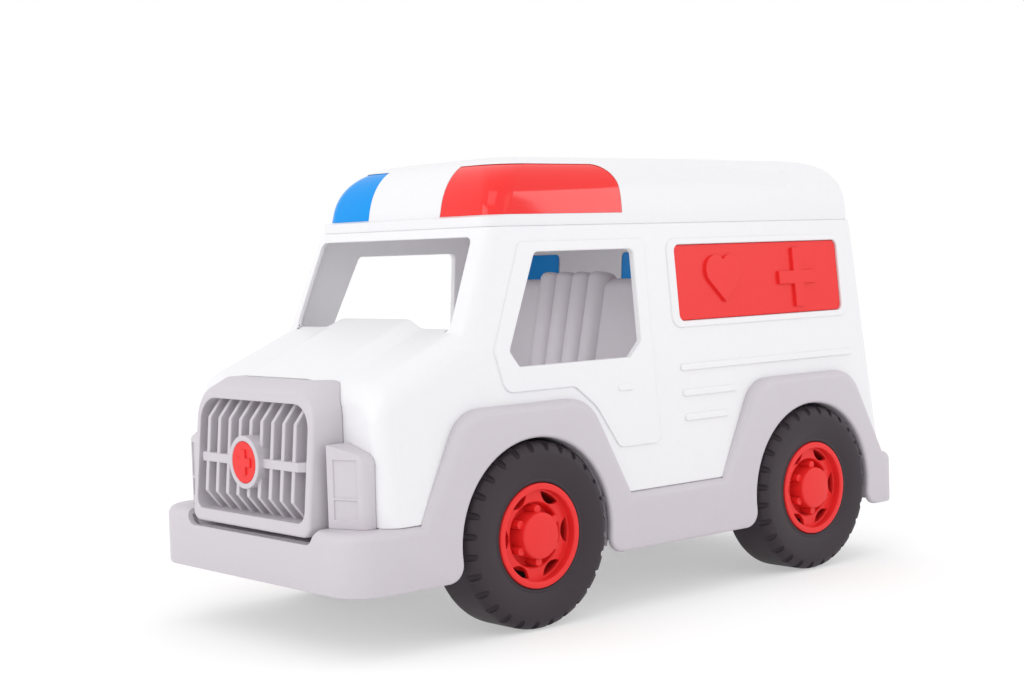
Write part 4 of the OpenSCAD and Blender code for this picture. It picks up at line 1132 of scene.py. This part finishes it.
def hub_section():
    """Half of the hub cut through its axis: back, rim, dish and middle boss."""
    edge_z = HUB_FACE - HUB_EDGE_R
    boss_z = HUB_FACE - HUB_BOSS_SET_IN
    section = [(r, HUB_FACE - depth) for r, depth in HUB_BACK]
    section += [(HUB_RIM_INNER_R, HUB_FOOT), (HUB_R, HUB_FOOT)]
    section += arc((HUB_R - HUB_EDGE_R, edge_z), HUB_EDGE_R, 0, 90, HUB_EDGE_STEPS)
    section += arc((HUB_RIM_CREST_R, edge_z), HUB_EDGE_R, 90, 90, HUB_EDGE_STEPS)
    section += [(r, HUB_FACE - depth) for r, depth in HUB_DISH]
    section += arc((HUB_BOSS_R - HUB_BOSS_EDGE_R, boss_z), HUB_BOSS_EDGE_R, 0, 90, HUB_EDGE_STEPS)
    return section + [(0, HUB_FACE + HUB_BOSS_PROUD)]


def hub_form():
    hub = lathe(hub_section())
    bow_turn = 2 * (180 - WINDOW_BOW_START)
    lens = arc((0, 0), WINDOW_R, -WINDOW_HALF_TURN, 2 * WINDOW_HALF_TURN, WINDOW_STEPS)
    lens += arc((WINDOW_BOW_X, 0), WINDOW_BOW_R, WINDOW_BOW_START, bow_turn, WINDOW_STEPS)[1:-1]
    windows = []
    lugs = []
    for i in range(HUB_SPOKES):
        window = upright(lens, HUB_FACE - WINDOW_FLOOR, HUB_FACE - WINDOW_TOP)
        windows.append(placed(window, Matrix.Rotation(2 * math.pi * i / HUB_SPOKES, 4, "Z")))
        lug = upright(circle(LUG_PLACE_R, 0, LUG_R, LUG_STEPS), HUB_FACE - LUG_FOOT, HUB_FACE - LUG_TOP)
        lugs.append(placed(lug, Matrix.Rotation(2 * math.pi * (i + 0.5) / HUB_SPOKES, 4, "Z")))
    cut(hub, *windows)
    return gathered(hub, *lugs)


def make_wheels():
    tyre = cut(lathe(tyre_section(), TYRE_STEPS), tread_notches())
    hub = hub_form()
    for end, x in (("front", FRONT_AXLE_X), ("rear", REAR_AXLE_X)):
        for side in ("left", "right"):
            place = Matrix.Translation((x, TYRE_INNER_Y, AXLE_Z)) @ Matrix.Rotation(-math.pi / 2, 4, "X")
            if side == "right":
                place = MIRROR_Y @ place
            name = end + "_" + side
            wheel = "wheel_" + name
            piece("tyre_" + name, placed(copied(tyre), place), black, wheel, sharp=TYRE_SHARP)
            piece("hub_" + name, placed(copied(hub), place), red, wheel, bevel=0.35)
    discard(tyre)
    discard(hub)


# Rear doors on the rear wall: each a panel with an inlay and a grip, and a leaf to the hinge's barrel
DOOR_CORNER_R = 3.4
LEAF_LAP = 5
LEAF_OUT = 2.7
LEAF_STEP = 0.5
BARREL_GAP = 0.5
GRIP = box_outline(5.6, 40, 10.6, 66, 2.3)
GRIP_PROUD = 3
INLAY = box_outline(16, 18, 52, 88, 5)
INLAY_PROUD = 0.8


def make_rear_doors():
    leaf_y = DOOR_WIDTH - LEAF_LAP
    top = DOOR_SILL + DOOR_HEIGHT
    barrel_low = DOOR_SILL + KNUCKLE_LENGTH + BARREL_GAP
    barrel_high = top - KNUCKLE_LENGTH - BARREL_GAP
    panel = along(box_outline(DOOR_GAP, DOOR_SILL, DOOR_WIDTH, top, DOOR_CORNER_R), 0, WALL)
    leaf = upright([
        (-LEAF_OUT, leaf_y), (-LEAF_OUT, HINGE_Y), (-LEAF_STEP, HINGE_Y), (-LEAF_STEP, DOOR_WIDTH),
        (LEAF_STEP, DOOR_WIDTH), (LEAF_STEP, leaf_y)], barrel_low, barrel_high)
    barrel = upright(circle(-HINGE_OUT, HINGE_Y, KNUCKLE_R), barrel_low, barrel_high)
    grip = along(GRIP, -GRIP_PROUD, RELIEF_ROOT)
    inlay = along(INLAY, -INLAY_PROUD, RELIEF_ROOT)
    door = placed(gathered(panel, leaf, barrel, grip, inlay), ON_REAR)
    other = mirrored(door)
    piece("rear_door_left", door, white, "door_left", bevel=0.5)
    piece("rear_door_right", other, white, "door_right", bevel=0.5)


STEEL_NODES = (
    "front_axle", "rear_axle", "axle_push_nuts", "hinge_pin_left", "hinge_pin_right", "body_screws")


def finish_steel():
    """Gives the solids that are shown as they are their finish."""
    for node in STEEL_NODES:
        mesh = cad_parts[node].data
        mesh.materials.clear()
        mesh.materials.append(steel)


# Stage: a pale floor, a plain white surround and soft lights
FLOOR_R = 8
FLOOR_TINT = 0.92
SEEN_FLOOR_TINT = 0.6
SEEN_FLOOR_GLOW = 0.42
INSIDE_LIGHT_R = 0.03


def pale_floor():
    """A floor that glows a little when seen or mirrored, so that the shadow on it stays light."""
    material = moulded("pale floor", [FLOOR_TINT] * 3, roughness=0.9, grain=0.005, shine=0.1)
    nodes = material.node_tree.nodes
    links = material.node_tree.links
    shader = nodes["Principled BSDF"]
    ray = nodes.new("ShaderNodeLightPath")
    seen = ray.outputs["Is Camera Ray"]
    for kind in ("Is Glossy Ray", "Is Transmission Ray"):
        either = nodes.new("ShaderNodeMath")
        either.operation = "MAXIMUM"
        links.new(seen, either.inputs[0])
        links.new(ray.outputs[kind], either.inputs[1])
        seen = either.outputs[0]
    tint = nodes.new("ShaderNodeMix")
    tint.data_type = "RGBA"
    tint.inputs["B"].default_value = [SEEN_FLOOR_TINT] * 3 + [1]
    links.new(seen, tint.inputs["Factor"])
    links.new(shader.inputs["Base Color"].links[0].from_socket, tint.inputs["A"])
    links.new(tint.outputs["Result"], shader.inputs["Base Color"])
    glow = nodes.new("ShaderNodeMath")
    glow.operation = "MULTIPLY"
    glow.inputs[1].default_value = SEEN_FLOOR_GLOW
    links.new(seen, glow.inputs[0])
    links.new(glow.outputs[0], shader.inputs["Emission Strength"])
    shader.inputs["Emission Color"].default_value = (1, 1, 1, 1)
    return material


def make_stage():
    bm = bmesh.new()
    bmesh.ops.create_circle(bm, cap_ends=True, segments=64, radius=FLOOR_R)
    floor = meshed("floor", bm)
    floor.data.materials.append(pale_floor())
    floor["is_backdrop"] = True
    world = bpy.data.worlds.new("surround")
    bpy.context.scene.world = world
    world.use_nodes = True
    world.node_tree.nodes["Background"].inputs["Color"].default_value = (1, 1, 1, 1)
    world.node_tree.nodes["Background"].inputs["Strength"].default_value = 1


def soft_light(name, place, target, width, height, power):
    data = bpy.data.lights.new(name, "AREA")
    data.shape = "RECTANGLE"
    data.size = width
    data.size_y = height
    data.energy = power
    light = linked(name, data)
    light.location = place
    light.rotation_euler = (Vector(target) - Vector(place)).to_track_quat("-Z", "Y").to_euler()


def inside_light(name, place, power):
    """A small fill under the roof, as bright walls and open windows give."""
    data = bpy.data.lights.new(name, "POINT")
    data.energy = power
    data.shadow_soft_size = INSIDE_LIGHT_R
    light = linked(name, data)
    light.location = place
    light.visible_camera = False
    light.visible_glossy = False


# Camera at the photo's place, with its angles in degrees
CAMERA_PLACE = (0.709, 0.7843, 0.2014)
CAMERA_TURN = 138.933
CAMERA_DIP = 2.984
CAMERA_ROLL = -1.829
CAMERA_LENS = 62.07
CAMERA_SENSOR = 36


def make_camera():
    data = bpy.data.cameras.new("camera")
    data.lens = CAMERA_LENS
    data.sensor_width = CAMERA_SENSOR
    camera = linked("camera", data)
    turn = Matrix.Rotation(math.radians(CAMERA_TURN), 4, "Z")
    tilt = Matrix.Rotation(math.radians(90 - CAMERA_DIP), 4, "X")
    roll = Matrix.Rotation(math.radians(CAMERA_ROLL), 4, "Z")
    camera.matrix_world = Matrix.Translation(CAMERA_PLACE) @ turn @ tilt @ roll
    bpy.context.scene.camera = camera


make_body_shell()
make_roof()
make_side_panels()
make_lower_body()
make_grille()
make_headlamps()
make_seat()
make_wheels()
make_rear_doors()
finish_steel()
make_stage()
soft_light("key", (1.4, 0.5, 1.5), (0, 0, 0.1), width=1.2, height=0.9, power=3.3)
soft_light("front", (1.8, -0.3, 0.6), (0.2, 0, 0.1), width=1.0, height=0.8, power=4.2)
soft_light("side", (-0.3, 1.7, 0.9), (-0.05, 0, 0.15), width=0.9, height=0.6, power=0.7)
soft_light("rear side", (-1.19, 1.34, 0.62), (0.06, 0.06, 0.23), width=0.45, height=0.7, power=2.2)
inside_light("cab", (0.05, 0, 0.14), power=0.06)
inside_light("compartment", (-0.12, 0, 0.14), power=0.05)
make_camera()
bpy.context.scene.view_settings.view_transform = "Standard"

boxes = {"cad": cad_bounds, "visual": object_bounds()}
{name: [list(corner) for corner in box] for name, box in boxes.items()}
